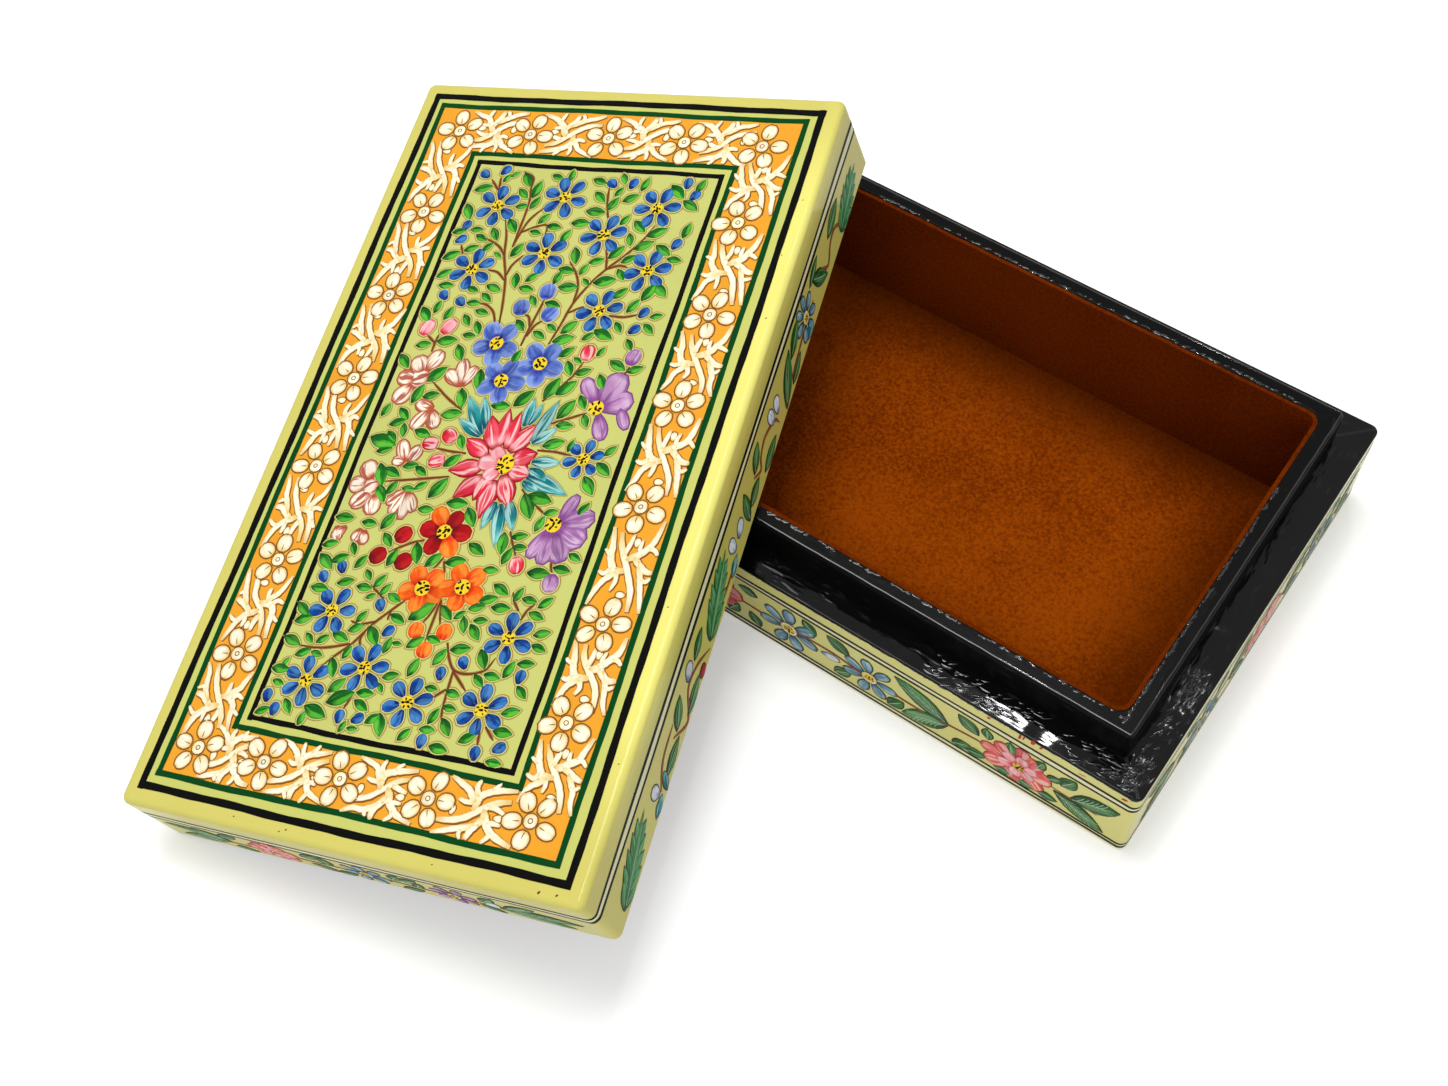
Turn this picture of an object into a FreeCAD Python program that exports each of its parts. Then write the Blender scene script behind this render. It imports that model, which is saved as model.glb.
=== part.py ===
"""Painted and lacquered keepsake box with a lift-off lid, in millimetres, +Z up.

The origin is the centre of the underside of the base, X runs along the length of the
base and -Y is its front. The lid is built in its closed place, with its rim on z = 0, and
is then laid open: it leans across the front left corner of the base.
"""
import FreeCAD
import Part
import itertools
import math
import os
from FreeCAD import Placement, Rotation, Vector

# Base: four mitred boards round a floor board
base_length = 176.0
base_width = 102.0
ledge_height = 24.5
wall_thickness = 6.8
floor_thickness = 3.0
corner_round = 1.8
bottom_round = 0.9
ledge_round = 0.4

# Lip: thin mitred strips inside the walls, which stand above the ledge and hold the lid
lip_height = 8.3
lip_thickness = 3.4
lip_corner_round = 1.2
lip_top_round = 0.8
opening_round = 3.0

# Velvet lining of the compartment and of the lid
lining_thickness = 0.6
lining_drop = 0.25
lid_lining_thickness = 0.6

# Lid: a top board on four mitred boards, flush with the base when closed
lid_height = 19.9
lid_top_thickness = 4.0
lid_edge_round = 1.5
rim_round = 0.4
lid_clearance = 0.4

# Where the lid lies: its turn, how far its left side stands out past the front left corner
# of the base, how far it reaches forward of that corner, and the gap left at each contact
lid_yaw = 107.75
lid_overhang = 16.0
lid_reach = 104.6
rest_gap = 0.2

lip_top = ledge_height + lip_height
lid_wall_thickness = wall_thickness - lid_clearance
lid_wall_height = lid_height - lid_top_thickness
up = Vector(0, 0, 1)
tolerance = 1e-6
contact_rounds = 30
sides = ("front", "back", "left", "right")


def block(length, width, low, high):
    """Box centred on the Z axis between two heights."""
    corner = Vector(-length / 2, -width / 2, low)
    return Part.makeBox(length, width, high - low, corner)


def upright_edges(shape):
    """The vertical edges of a block."""
    found = []
    for edge in shape.Edges:
        if edge.BoundBox.XLength + edge.BoundBox.YLength < tolerance:
            found.append(edge)
    return found


def edges_at(shape, height):
    """The edges that lie flat at one height."""
    found = []
    for edge in shape.Edges:
        if abs(edge.BoundBox.ZMin - height) + abs(edge.BoundBox.ZMax - height) < tolerance:
            found.append(edge)
    return found


def rounded_block(length, width, low, high, upright, bottom=0.0, top=0.0):
    """Block with rounded upright edges and, where given, rounded bottom and top edges.

    The rounds along the bottom and top stay a little smaller than the upright ones,
    which they run into at the corners.
    """
    shape = block(length, width, low, high)
    shape = shape.makeFillet(upright, upright_edges(shape))
    limit = 0.95 * upright
    if bottom:
        shape = shape.makeFillet(min(bottom, limit), edges_at(shape, low))
    if top:
        shape = shape.makeFillet(min(top, limit), edges_at(shape, high))
    return shape


def mitre_cell(side, length, width, low, high):
    """Prism that one board of a frame fills, bounded by 45 degree planes from its corners."""
    x = length / 2
    y = width / 2
    depth = min(x, y)
    plans = {
        "front": [(-x, -y), (x, -y), (x - depth, depth - y), (depth - x, depth - y)],
        "right": [(x, -y), (x, y), (x - depth, y - depth), (x - depth, depth - y)],
        "back": [(x, y), (-x, y), (depth - x, y - depth), (x - depth, y - depth)],
        "left": [(-x, y), (-x, -y), (depth - x, depth - y), (depth - x, y - depth)],
    }
    corners = []
    for point in plans[side]:
        corner = Vector(point[0], point[1], low)
        if not corners or corner.distanceToPoint(corners[-1]) > tolerance:
            corners.append(corner)
    face = Part.Face(Part.makePolygon(corners + corners[:1]))
    return face.extrude(up * (high - low))


def mitred_boards(frame, length, width, low, high):
    """The four boards of a rectangular frame, keyed by side."""
    boards = {}
    for side in sides:
        boards[side] = frame.common(mitre_cell(side, length, width, low, high))
    return boards


def base_parts():
    """Walls and floor board of the base."""
    body = rounded_block(base_length, base_width, 0, ledge_height, corner_round, bottom_round, ledge_round)
    inner_length = base_length - 2 * wall_thickness
    inner_width = base_width - 2 * wall_thickness
    frame = body.cut(block(inner_length, inner_width, 0, ledge_height))
    boards = mitred_boards(frame, base_length, base_width, 0, ledge_height)
    parts = {"base_floor": block(inner_length, inner_width, 0, floor_thickness)}
    for side in sides:
        parts["base_" + side + "_wall"] = boards[side]
    return parts


def lip_parts():
    """Strips that stand on the floor inside the walls, with a rounded opening."""
    length = base_length - 2 * wall_thickness
    width = base_width - 2 * wall_thickness
    opening_length = length - 2 * lip_thickness
    opening_width = width - 2 * lip_thickness
    body = rounded_block(length, width, floor_thickness, lip_top, lip_corner_round, 0, lip_top_round)
    opening = rounded_block(opening_length, opening_width, floor_thickness, lip_top, opening_round)
    frame = body.cut(opening)
    inner_edges = []
    for edge in edges_at(frame, lip_top):
        box = edge.BoundBox
        reach_x = max(abs(box.XMin), abs(box.XMax))
        reach_y = max(abs(box.YMin), abs(box.YMax))
        if reach_x < opening_length / 2 + tolerance and reach_y < opening_width / 2 + tolerance:
            inner_edges.append(edge)
    frame = frame.makeFillet(lip_top_round / 2, inner_edges)
    boards = mitred_boards(frame, length, width, floor_thickness, lip_top)
    return {"lip_" + side: boards[side] for side in sides}


def lining_parts():
    """Velvet on the floor and on the four walls of the compartment."""
    length = base_length - 2 * (wall_thickness + lip_thickness)
    width = base_width - 2 * (wall_thickness + lip_thickness)
    low = floor_thickness + lining_thickness
    high = lip_top - lining_drop
    inner_length = length - 2 * lining_thickness
    inner_width = width - 2 * lining_thickness
    inner_round = opening_round - lining_thickness
    body = rounded_block(length, width, low, high, opening_round)
    frame = body.cut(rounded_block(inner_length, inner_width, low, high, inner_round))
    boards = mitred_boards(frame, length, width, low, high)
    parts = {"lining_floor": rounded_block(length, width, floor_thickness, low, opening_round)}
    for side in sides:
        parts["lining_" + side] = boards[side]
    return parts


def lid_parts():
    """Top board, walls and lining of the lid in its closed place, with its rim on z = 0."""
    body = rounded_block(base_length, base_width, 0, lid_height, corner_round, rim_round, lid_edge_round)
    inner_length = base_length - 2 * lid_wall_thickness
    inner_width = base_width - 2 * lid_wall_thickness
    lining_low = lid_wall_height - lid_lining_thickness
    top_slice = block(base_length, base_width, lid_wall_height, lid_height)
    wall_slice = block(base_length, base_width, 0, lid_wall_height)
    frame = body.common(wall_slice).cut(block(inner_length, inner_width, 0, lid_wall_height))
    boards = mitred_boards(frame, base_length, base_width, 0, lid_wall_height)
    parts = {
        "lid_top": body.common(top_slice),
        "lid_lining": block(inner_length, inner_width, lining_low, lid_wall_height),
    }
    for side in sides:
        parts["lid_" + side + "_wall"] = boards[side]
    return parts


def point_at(start, end, axis, value):
    """Point where a straight edge reaches a value along X (axis 0) or Y (axis 1)."""
    share = (value - start[axis]) / (end[axis] - start[axis])
    return start + (end - start) * share


def plane_through(trio):
    """Slopes a, b and height c of the plane z = a x + b y + c through three points."""
    normal = (trio[1] - trio[0]).cross(trio[2] - trio[0])
    slope_x = -normal.x / normal.z
    slope_y = -normal.y / normal.z
    return slope_x, slope_y, trio[0].z - slope_x * trio[0].x - slope_y * trio[0].y


def height_on(plane, point):
    """Height of a plane over a point."""
    return plane[0] * point.x + plane[1] * point.y + plane[2]


def resting_plane(supports, centre):
    """Lowest plane over the centre that rests on three supports and clears the others."""
    best = None
    for trio in itertools.combinations(supports, 3):
        plane = plane_through(trio)
        clear = all(height_on(plane, point) > point.z - tolerance for point in supports)
        if clear and (best is None or height_on(plane, centre) < height_on(best, centre)):
            best = plane
    return best


def lean_placement():
    """Place of the leaning lid.

    One rim corner meets the table. The rim meets the outer edge of the front lip and of
    the left lip, and a shallow lid would meet the corner of the lip with its inside. The
    plan of the rim changes a little with its tilt, so the contacts are found in a few turns.
    """
    yaw = math.radians(lid_yaw)
    along = Vector(math.cos(yaw), math.sin(yaw), 0)
    across = Vector(-math.sin(yaw), math.cos(yaw), 0)
    base_corner = Vector(-base_length / 2, -base_width / 2, 0)
    table_point = base_corner + across * lid_overhang - along * lid_reach + up * rest_gap
    lip_left = -(base_length / 2 - wall_thickness)
    lip_front = -(base_width / 2 - wall_thickness)
    rim_corner = Vector(-base_length / 2, base_width / 2, 0)
    inner_x = base_length / 2 - lid_wall_thickness
    inner_y = base_width / 2 - lid_wall_thickness
    inside_depth = lid_wall_height - lid_lining_thickness
    contact_height = lip_top + rest_gap
    plane = (0.0, 0.0, rest_gap)
    for contact_round in range(contact_rounds):
        normal = Vector(-plane[0], -plane[1], 1).normalize()
        rotation = Rotation(up, normal) * Rotation(up, lid_yaw)
        corner = Vector(table_point.x, table_point.y, height_on(plane, table_point))
        lean = Placement(corner - rotation.multVec(rim_corner), rotation)
        near_end = lean.multVec(Vector(-inner_x, -inner_y, 0))
        far_end = lean.multVec(Vector(inner_x, -inner_y, 0))
        outer_end = lean.multVec(Vector(inner_x, inner_y, 0))
        on_front = point_at(near_end, far_end, 1, lip_front)
        on_left = point_at(far_end, outer_end, 0, lip_left)
        supports = [
            table_point,
            Vector(on_front.x, on_front.y, contact_height),
            Vector(on_left.x, on_left.y, contact_height),
            Vector(lip_left, lip_front, contact_height - inside_depth / normal.z),
        ]
        plane = resting_plane(supports, lean.Base)
    return lean


def write_parts():
    """Write each piece to its own file and report its solid."""
    parts = {}
    parts.update(base_parts())
    parts.update(lip_parts())
    parts.update(lining_parts())
    lean = lean_placement()
    for name, shape in lid_parts().items():
        parts[name] = shape.transformed(lean.toMatrix(), True)
    os.makedirs("parts", exist_ok=True)
    for name, shape in parts.items():
        solid = shape.Solids[0]
        print(name, len(shape.Solids), "solid", round(solid.Volume, 1), "mm3", "valid", solid.isValid())
        solid.exportStep("parts/" + name + ".step")
    tilt = math.degrees(lean.Rotation.multVec(up).getAngle(up))
    print("lid lies at", lean.Base, "tilted", round(tilt, 2), "degrees")


write_parts()
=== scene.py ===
"""Looks of the painted keepsake box: lacquered coats, the floral painting and the velvet lining.

The painting is thin raised paint, laid in the order of a painter's work. Places on a painted
face are millimetres from the middle of the face (lid top) or of its lower edge (sides).
"""
import math
import random

import bmesh
import bpy
import numpy as np
from mathutils import Matrix, Vector


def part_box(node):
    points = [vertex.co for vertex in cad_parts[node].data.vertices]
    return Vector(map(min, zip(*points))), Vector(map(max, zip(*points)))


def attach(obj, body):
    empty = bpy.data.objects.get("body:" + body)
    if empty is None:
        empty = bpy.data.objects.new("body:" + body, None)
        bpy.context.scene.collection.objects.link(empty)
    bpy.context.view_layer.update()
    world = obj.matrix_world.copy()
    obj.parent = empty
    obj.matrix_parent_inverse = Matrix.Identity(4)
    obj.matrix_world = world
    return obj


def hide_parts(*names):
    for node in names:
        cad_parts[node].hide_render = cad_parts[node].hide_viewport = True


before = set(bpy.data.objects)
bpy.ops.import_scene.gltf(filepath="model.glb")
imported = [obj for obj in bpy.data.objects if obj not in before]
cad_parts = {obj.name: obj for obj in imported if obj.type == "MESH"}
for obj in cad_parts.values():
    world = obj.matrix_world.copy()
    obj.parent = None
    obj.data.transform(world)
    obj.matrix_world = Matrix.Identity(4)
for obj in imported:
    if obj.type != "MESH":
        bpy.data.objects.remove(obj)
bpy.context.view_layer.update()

mm = 0.001
hand = random.Random(11)

bpy.context.scene.view_settings.view_transform = "Standard"


# Places, read from the frame

def centroid(name):
    """Middle of a node's surface."""
    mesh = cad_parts[name].data
    mesh.calc_loop_triangles()
    total = Vector()
    area = 0.0
    for triangle in mesh.loop_triangles:
        corners = [mesh.vertices[index].co for index in triangle.vertices]
        total += (corners[0] + corners[1] + corners[2]) / 3 * triangle.area
        area += triangle.area
    return total / area


def lid_place():
    """Matrix from the closed lid, with its rim on z = 0, to where the lid lies, and its size in mm."""
    sides = ("left", "right", "front", "back")
    left, right, front, back = (centroid("lid_" + side + "_wall") for side in sides)
    along = (right - left).normalized()
    up = along.cross(back - front).normalized()
    across = up.cross(along)
    middle = (left + right + front + back) / 4
    spans = []
    for axis in (along, across, up):
        reach = []
        for name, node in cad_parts.items():
            if name.startswith("lid_"):
                reach += [axis.dot(vertex.co - middle) for vertex in node.data.vertices]
        spans.append((min(reach), max(reach)))
    turn = Matrix((along, across, up)).transposed()
    place = turn.to_4x4()
    place.translation = middle + up * spans[2][0]
    return place, [(high - low) / mm for low, high in spans]


lid_matrix, lid_size = lid_place()
low_corner = Vector((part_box("base_left_wall")[0].x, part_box("base_front_wall")[0].y, 0))
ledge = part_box("base_front_wall")[1].z / mm
lip_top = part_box("lip_front")[1].z / mm
base_size = [-2 * low_corner.x / mm, -2 * low_corner.y / mm, ledge]
base_matrix = Matrix.Identity(4)
lining_low, lining_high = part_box("lining_floor")
lining_length = (lining_high.x - lining_low.x) / mm
lining_width = (lining_high.y - lining_low.y) / mm
floor_low = lining_low.z / mm
wall_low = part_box("lining_front")[0].z / mm
wall_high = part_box("lining_front")[1].z / mm

# Sizes in mm that the frame does not give
corner_round = 1.8
opening_round = 3.0
lid_board = 6.4
lid_lining_depth = 4.6
lid_velvet_thickness = 0.55
wall_velvet_thickness = 0.85
velvet_gap = 0.1


def face(matrix, size, side):
    """Matrix from millimetres on a painted face (right, up, out) to the frame."""
    length, width, height = size
    plans = {
        "front": ((0, -width / 2, 0), (1, 0, 0), (0, 0, 1)),
        "back": ((0, width / 2, 0), (-1, 0, 0), (0, 0, 1)),
        "left": ((-length / 2, 0, 0), (0, -1, 0), (0, 0, 1)),
        "right": ((length / 2, 0, 0), (0, 1, 0), (0, 0, 1)),
        "top": ((0, 0, height), (0, -1, 0), (1, 0, 0)),
    }
    origin, right, up = (Vector(part) for part in plans[side])
    local = Matrix((right, up, right.cross(up))).transposed().to_4x4()
    local.translation = origin
    return matrix @ Matrix.Diagonal((mm, mm, mm, 1)) @ local


# Shader helpers

def linear(value):
    """Screen value from 0 to 255 as linear light."""
    value = value / 255
    return value / 12.92 if value <= 0.04045 else ((value + 0.055) / 1.055) ** 2.4


def paint(red, green, blue):
    """Linear colour of a paint given in screen values."""
    return (linear(red), linear(green), linear(blue), 1.0)


def feed(tree, source, socket):
    """Sets a socket to a value or links another socket to it."""
    if isinstance(source, (int, float, tuple)):
        socket.default_value = source
    else:
        tree.links.new(source, socket)


def reckon(tree, operation, *sources):
    """Result of a math node."""
    node = tree.nodes.new("ShaderNodeMath")
    node.operation = operation
    for index, source in enumerate(sources):
        feed(tree, source, node.inputs[index])
    return node.outputs[0]


def step(tree, source, low, high, start=0.0, end=1.0):
    """Smooth step of a value from one level to another."""
    node = tree.nodes.new("ShaderNodeMapRange")
    node.interpolation_type = "SMOOTHSTEP"
    for index, value in enumerate((source, low, high, start, end)):
        feed(tree, value, node.inputs[index])
    return node.outputs[0]


def mix(tree, share, first, second):
    """Blend of two colours by a share."""
    node = tree.nodes.new("ShaderNodeMix")
    node.data_type = "RGBA"
    feed(tree, share, node.inputs[0])
    feed(tree, first, node.inputs[6])
    feed(tree, second, node.inputs[7])
    return node.outputs[2]


def noise(tree, vector, scale, detail=2.0, roughness=0.5):
    """Value of a noise texture."""
    node = tree.nodes.new("ShaderNodeTexNoise")
    tree.links.new(vector, node.inputs["Vector"])
    node.inputs["Scale"].default_value = scale
    node.inputs["Detail"].default_value = detail
    node.inputs["Roughness"].default_value = roughness
    return node.outputs[0]


def combine(tree, x, y, z):
    """Vector made of three values."""
    node = tree.nodes.new("ShaderNodeCombineXYZ")
    for index, source in enumerate((x, y, z)):
        feed(tree, source, node.inputs[index])
    return node.outputs[0]


def split(tree, vector):
    """The three values of a vector."""
    node = tree.nodes.new("ShaderNodeSeparateXYZ")
    tree.links.new(vector, node.inputs[0])
    return node.outputs


def object_place(tree):
    """Coordinates of the piece that is painted, in metres."""
    return tree.nodes.new("ShaderNodeTexCoord").outputs["Object"]


def new_group(name, inputs, outputs):
    """Empty shader node group with named sockets."""
    group = bpy.data.node_groups.new(name, "ShaderNodeTree")
    for label, start in inputs:
        kind = "NodeSocketColor" if isinstance(start, tuple) else "NodeSocketFloat"
        socket = group.interface.new_socket(label, in_out="INPUT", socket_type=kind)
        socket.default_value = start
    for label in outputs:
        kind = "NodeSocketColor" if label == "Color" else "NodeSocketFloat"
        group.interface.new_socket(label, in_out="OUTPUT", socket_type=kind)
    return group, group.nodes.new("NodeGroupInput").outputs, group.nodes.new("NodeGroupOutput").inputs


def use_group(tree, group, **values):
    """Node of a group with its inputs set; returns its outputs."""
    node = tree.nodes.new("ShaderNodeGroup")
    node.node_tree = group
    for label, value in values.items():
        feed(tree, value, node.inputs[label])
    return node.outputs


def brush_work():
    """Colours of one brushed petal or leaf: root to tip, a lighter half, streaks along it, a worked edge."""
    white = (1.0, 1.0, 1.0, 1.0)
    group, given, made = new_group("brush work", [
        ("Root", white), ("Body", white), ("Tip", white), ("Light", white), ("Lights", 0.5),
        ("Streak", white), ("Streaks", 0.3), ("Lines", 6.0), ("Edge", white), ("Edges", 0.3)],
        ["Color", "Height"])
    across, along = split(group, group.nodes.new("ShaderNodeUVMap").outputs[0])[:2]
    attribute = group.nodes.new("ShaderNodeAttribute")
    attribute.attribute_name = "tint"
    tint = attribute.outputs["Fac"]
    patch = combine(group, reckon(group, "MULTIPLY", across, 3.0), reckon(group, "MULTIPLY", along, 2.0),
                    reckon(group, "MULTIPLY", tint, 40.0))
    blot = reckon(group, "SUBTRACT", noise(group, patch, 1.0), 0.5)
    reach = reckon(group, "MULTIPLY_ADD", blot, 0.5, along)
    colour = mix(group, step(group, reach, 0.05, 0.42), given["Root"], given["Body"])
    colour = mix(group, step(group, reach, 0.55, 0.95), colour, given["Tip"])
    lit = step(group, reckon(group, "MULTIPLY_ADD", blot, 0.6, across), 0.46, 0.6)
    lit = reckon(group, "MULTIPLY", lit, step(group, reach, 0.15, 0.45))
    colour = mix(group, reckon(group, "MULTIPLY", lit, given["Lights"]), colour, given["Light"])
    hairs = combine(group, reckon(group, "MULTIPLY", across, given["Lines"]),
                    reckon(group, "MULTIPLY", along, 0.9), reckon(group, "MULTIPLY", tint, 60.0))
    grain = noise(group, hairs, 1.0, 1.0)
    streak = reckon(group, "MULTIPLY", step(group, grain, 0.5, 0.6), given["Streaks"])
    colour = mix(group, streak, colour, given["Streak"])
    from_middle = reckon(group, "ABSOLUTE", reckon(group, "SUBTRACT", across, 0.5))
    side = reckon(group, "MULTIPLY", from_middle, 2.0)
    end = reckon(group, "ABSOLUTE", reckon(group, "MULTIPLY_ADD", along, 2.0, -1.0))
    rim = reckon(group, "MAXIMUM", side, end)
    edge = reckon(group, "MULTIPLY", step(group, rim, 0.66, 0.96), given["Edges"])
    colour = mix(group, edge, colour, given["Edge"])
    tone = group.nodes.new("ShaderNodeHueSaturation")
    feed(group, reckon(group, "MULTIPLY_ADD", tint, 0.3, 0.85), tone.inputs["Value"])
    feed(group, colour, tone.inputs["Color"])
    feed(group, tone.outputs[0], made["Color"])
    feed(group, grain, made["Height"])
    return group


def aged_coat():
    """A lacquered coat with faint clouds, fine pits and a few dark specks."""
    group, given, made = new_group("aged coat", [
        ("Color", (1.0, 1.0, 1.0, 1.0)), ("Speck", (0.1, 0.05, 0.02, 1.0)), ("Specks", 0.8), ("Clouds", 0.1)],
        ["Color", "Roughness", "Height"])
    place = object_place(group)
    cells = group.nodes.new("ShaderNodeTexVoronoi")
    feed(group, place, cells.inputs["Vector"])
    cells.inputs["Scale"].default_value = 130.0
    chance = split(group, cells.outputs["Color"])
    size = step(group, chance[0], 0.55, 1.0, 0.0, 0.055)
    spot = reckon(group, "LESS_THAN", cells.outputs["Distance"], size)
    spot = reckon(group, "MULTIPLY", spot, given["Specks"])
    cloud = noise(group, place, 45.0, 4.0, 0.6)
    darker = mix(group, 0.35, given["Color"], given["Speck"])
    colour = mix(group, reckon(group, "MULTIPLY", step(group, cloud, 0.45, 0.75), given["Clouds"]),
                 given["Color"], darker)
    feed(group, mix(group, spot, colour, given["Speck"]), made["Color"])
    fine = noise(group, place, 700.0, 2.0)
    feed(group, step(group, cloud, 0.2, 0.8, 0.34, 0.5), made["Roughness"])
    height = reckon(group, "MULTIPLY_ADD", fine, 0.35, reckon(group, "MULTIPLY", cloud, 0.8))
    feed(group, reckon(group, "SUBTRACT", height, reckon(group, "MULTIPLY", spot, 0.8)), made["Height"])
    return group


def brushed_lacquer():
    """Thick black lacquer laid on with a stiff brush: ridges and drops that catch the light."""
    group, given, made = new_group("brushed lacquer", [("Color", (0.01, 0.01, 0.01, 1.0)), ("Drops", 0.5)],
                                   ["Color", "Roughness", "Height"])
    place = object_place(group)
    x, y, z = split(group, place)
    turned = reckon(group, "SUBTRACT", reckon(group, "ABSOLUTE", x), reckon(group, "ABSOLUTE", y))
    # The brush runs along each board and turns at the mitres
    mitre = (base_size[0] - base_size[1]) / 2
    before, after = (mitre - 0.5) * mm, (mitre + 0.5) * mm
    drawn_x = reckon(group, "MULTIPLY", x, step(group, turned, before, after, 0.3, 1.0))
    drawn_y = reckon(group, "MULTIPLY", y, step(group, turned, before, after, 1.0, 0.3))
    brushed = combine(group, drawn_x, drawn_y, z)
    ridge = noise(group, brushed, 700.0, 1.5, 0.5)
    slow = noise(group, place, 60.0, 2.0)
    sag = noise(group, place, 130.0, 1.0)
    dull = mix(group, 0.5, given["Color"], (0.03, 0.028, 0.026, 1.0))
    feed(group, mix(group, step(group, ridge, 0.6, 0.8), given["Color"], dull), made["Color"])
    feed(group, step(group, slow, 0.35, 0.7, 0.05, 0.12), made["Roughness"])
    drops = reckon(group, "MULTIPLY", step(group, ridge, 0.3, 0.7), given["Drops"])
    drops = reckon(group, "MULTIPLY", drops, step(group, slow, 0.42, 0.6, 0.1, 1.0))
    feed(group, reckon(group, "MULTIPLY_ADD", sag, 4.0, drops), made["Height"])
    return group


brush_group = brush_work()
coat_group = aged_coat()
lacquer_group = brushed_lacquer()


def new_material(name, coat=0.08, coat_roughness=0.1):
    """Material with a lacquered shader; returns it, its tree and the shader's inputs."""
    material = bpy.data.materials.new(name)
    material.use_nodes = True
    tree = material.node_tree
    shader = tree.nodes["Principled BSDF"].inputs
    shader["Coat Weight"].default_value = coat
    shader["Coat Roughness"].default_value = coat_roughness
    shader["Specular IOR Level"].default_value = 0.08
    shader["Roughness"].default_value = 0.45
    return material, tree, shader


def raise_by(tree, shader, height, distance, strength):
    """Lets a height tilt the surface."""
    bump = tree.nodes.new("ShaderNodeBump")
    bump.inputs["Distance"].default_value = distance
    bump.inputs["Strength"].default_value = strength
    feed(tree, height, bump.inputs["Height"])
    feed(tree, bump.outputs[0], shader["Normal"])


def brushed_paint(name, root, body, tip, light, lights, streak, streaks, lines, edge, edges, coat=0.08):
    """Paint of petals and leaves, by the inputs of the brush work."""
    material, tree, shader = new_material(name, coat)
    made = use_group(tree, brush_group, Root=paint(*root), Body=paint(*body), Tip=paint(*tip),
                     Light=paint(*light), Lights=lights, Streak=paint(*streak), Streaks=streaks,
                     Lines=lines, Edge=paint(*edge), Edges=edges)
    feed(tree, made["Color"], shader["Base Color"])
    raise_by(tree, shader, made["Height"], 0.00005, 0.4)
    return material


def plain_paint(name, colour, clouds=0.15, specks=0.0, coat=0.08):
    """Paint of one colour, a little cloudy."""
    material, tree, shader = new_material(name, coat)
    shader["Specular IOR Level"].default_value = 0.75 * coat
    dark = tuple(part * 0.6 for part in colour)
    made = use_group(tree, coat_group, Color=paint(*colour), Speck=paint(*dark), Specks=specks, Clouds=clouds)
    feed(tree, made["Color"], shader["Base Color"])
    feed(tree, made["Roughness"], shader["Roughness"])
    raise_by(tree, shader, made["Height"], 0.00008, 0.4)
    return material


def line_paint(name, colour):
    """Dark paint of drawn lines, which soaks up the lacquer's gloss."""
    return plain_paint(name, colour, coat=0.04)


ground_colour = (224, 217, 112)
lid_ground = (215, 206, 104)
# Paler ground of the painted highlight along one long edge of the lid
highlight_ground = (244, 236, 124)
speck_colour = (92, 52, 20)
black_colour = (9, 8, 8)

# Painted highlight: the lid's margin is paler along one long edge, where light falls on its rounded edge; in
# mm from its middle or rim: across, up, and along from its own middle
highlight_across = (-45.5, -48.5)
highlight_up = (14.5, 18.5)
highlight_middle = 6.0
highlight_along = (88.0, 50.0)

# Where the black inside and under the rim begins, in mm from the lid's outer faces and from its top
black_from_side = (0.8, 1.2)
black_from_top = (3.4, 3.8)


def base_coat():
    """Yellow-green sides, with black lacquer on the ledge brought raggedly to its edge."""
    material, tree, shader = new_material("base coat")
    shader["Specular IOR Level"].default_value = 0.16
    yellow = use_group(tree, coat_group, Color=paint(*ground_colour), Speck=paint(*speck_colour),
                       Specks=0.6, Clouds=0.2)
    black = use_group(tree, lacquer_group, Color=paint(*black_colour), Drops=1.0)
    place = object_place(tree)
    height = split(tree, place)[2]
    ragged = reckon(tree, "SUBTRACT", noise(tree, place, 420.0, 3.0, 0.65), 0.5)
    ragged_height = reckon(tree, "MULTIPLY_ADD", ragged, 1.6 * mm, height)
    # Black from the ragged edge upward, on all of the ledge and under the base
    mask = step(tree, ragged_height, (ledge - 0.62) * mm, (ledge - 0.56) * mm)
    mask = reckon(tree, "MAXIMUM", mask, step(tree, height, (ledge - 0.12) * mm, (ledge - 0.06) * mm))
    mask = reckon(tree, "MAXIMUM", mask, step(tree, height, 0.12 * mm, 0.04 * mm))
    feed(tree, step(tree, mask, 0.0, 1.0, 0.45, 0.0), shader["Coat Weight"])
    feed(tree, mix(tree, mask, yellow["Color"], black["Color"]), shader["Base Color"])
    feed(tree, mix(tree, mask, yellow["Roughness"], black["Roughness"]), shader["Roughness"])
    relief = mix(tree, mask, reckon(tree, "MULTIPLY", yellow["Height"], 0.8), black["Height"])
    raise_by(tree, shader, relief, 0.0001, 0.7)
    return material


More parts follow.
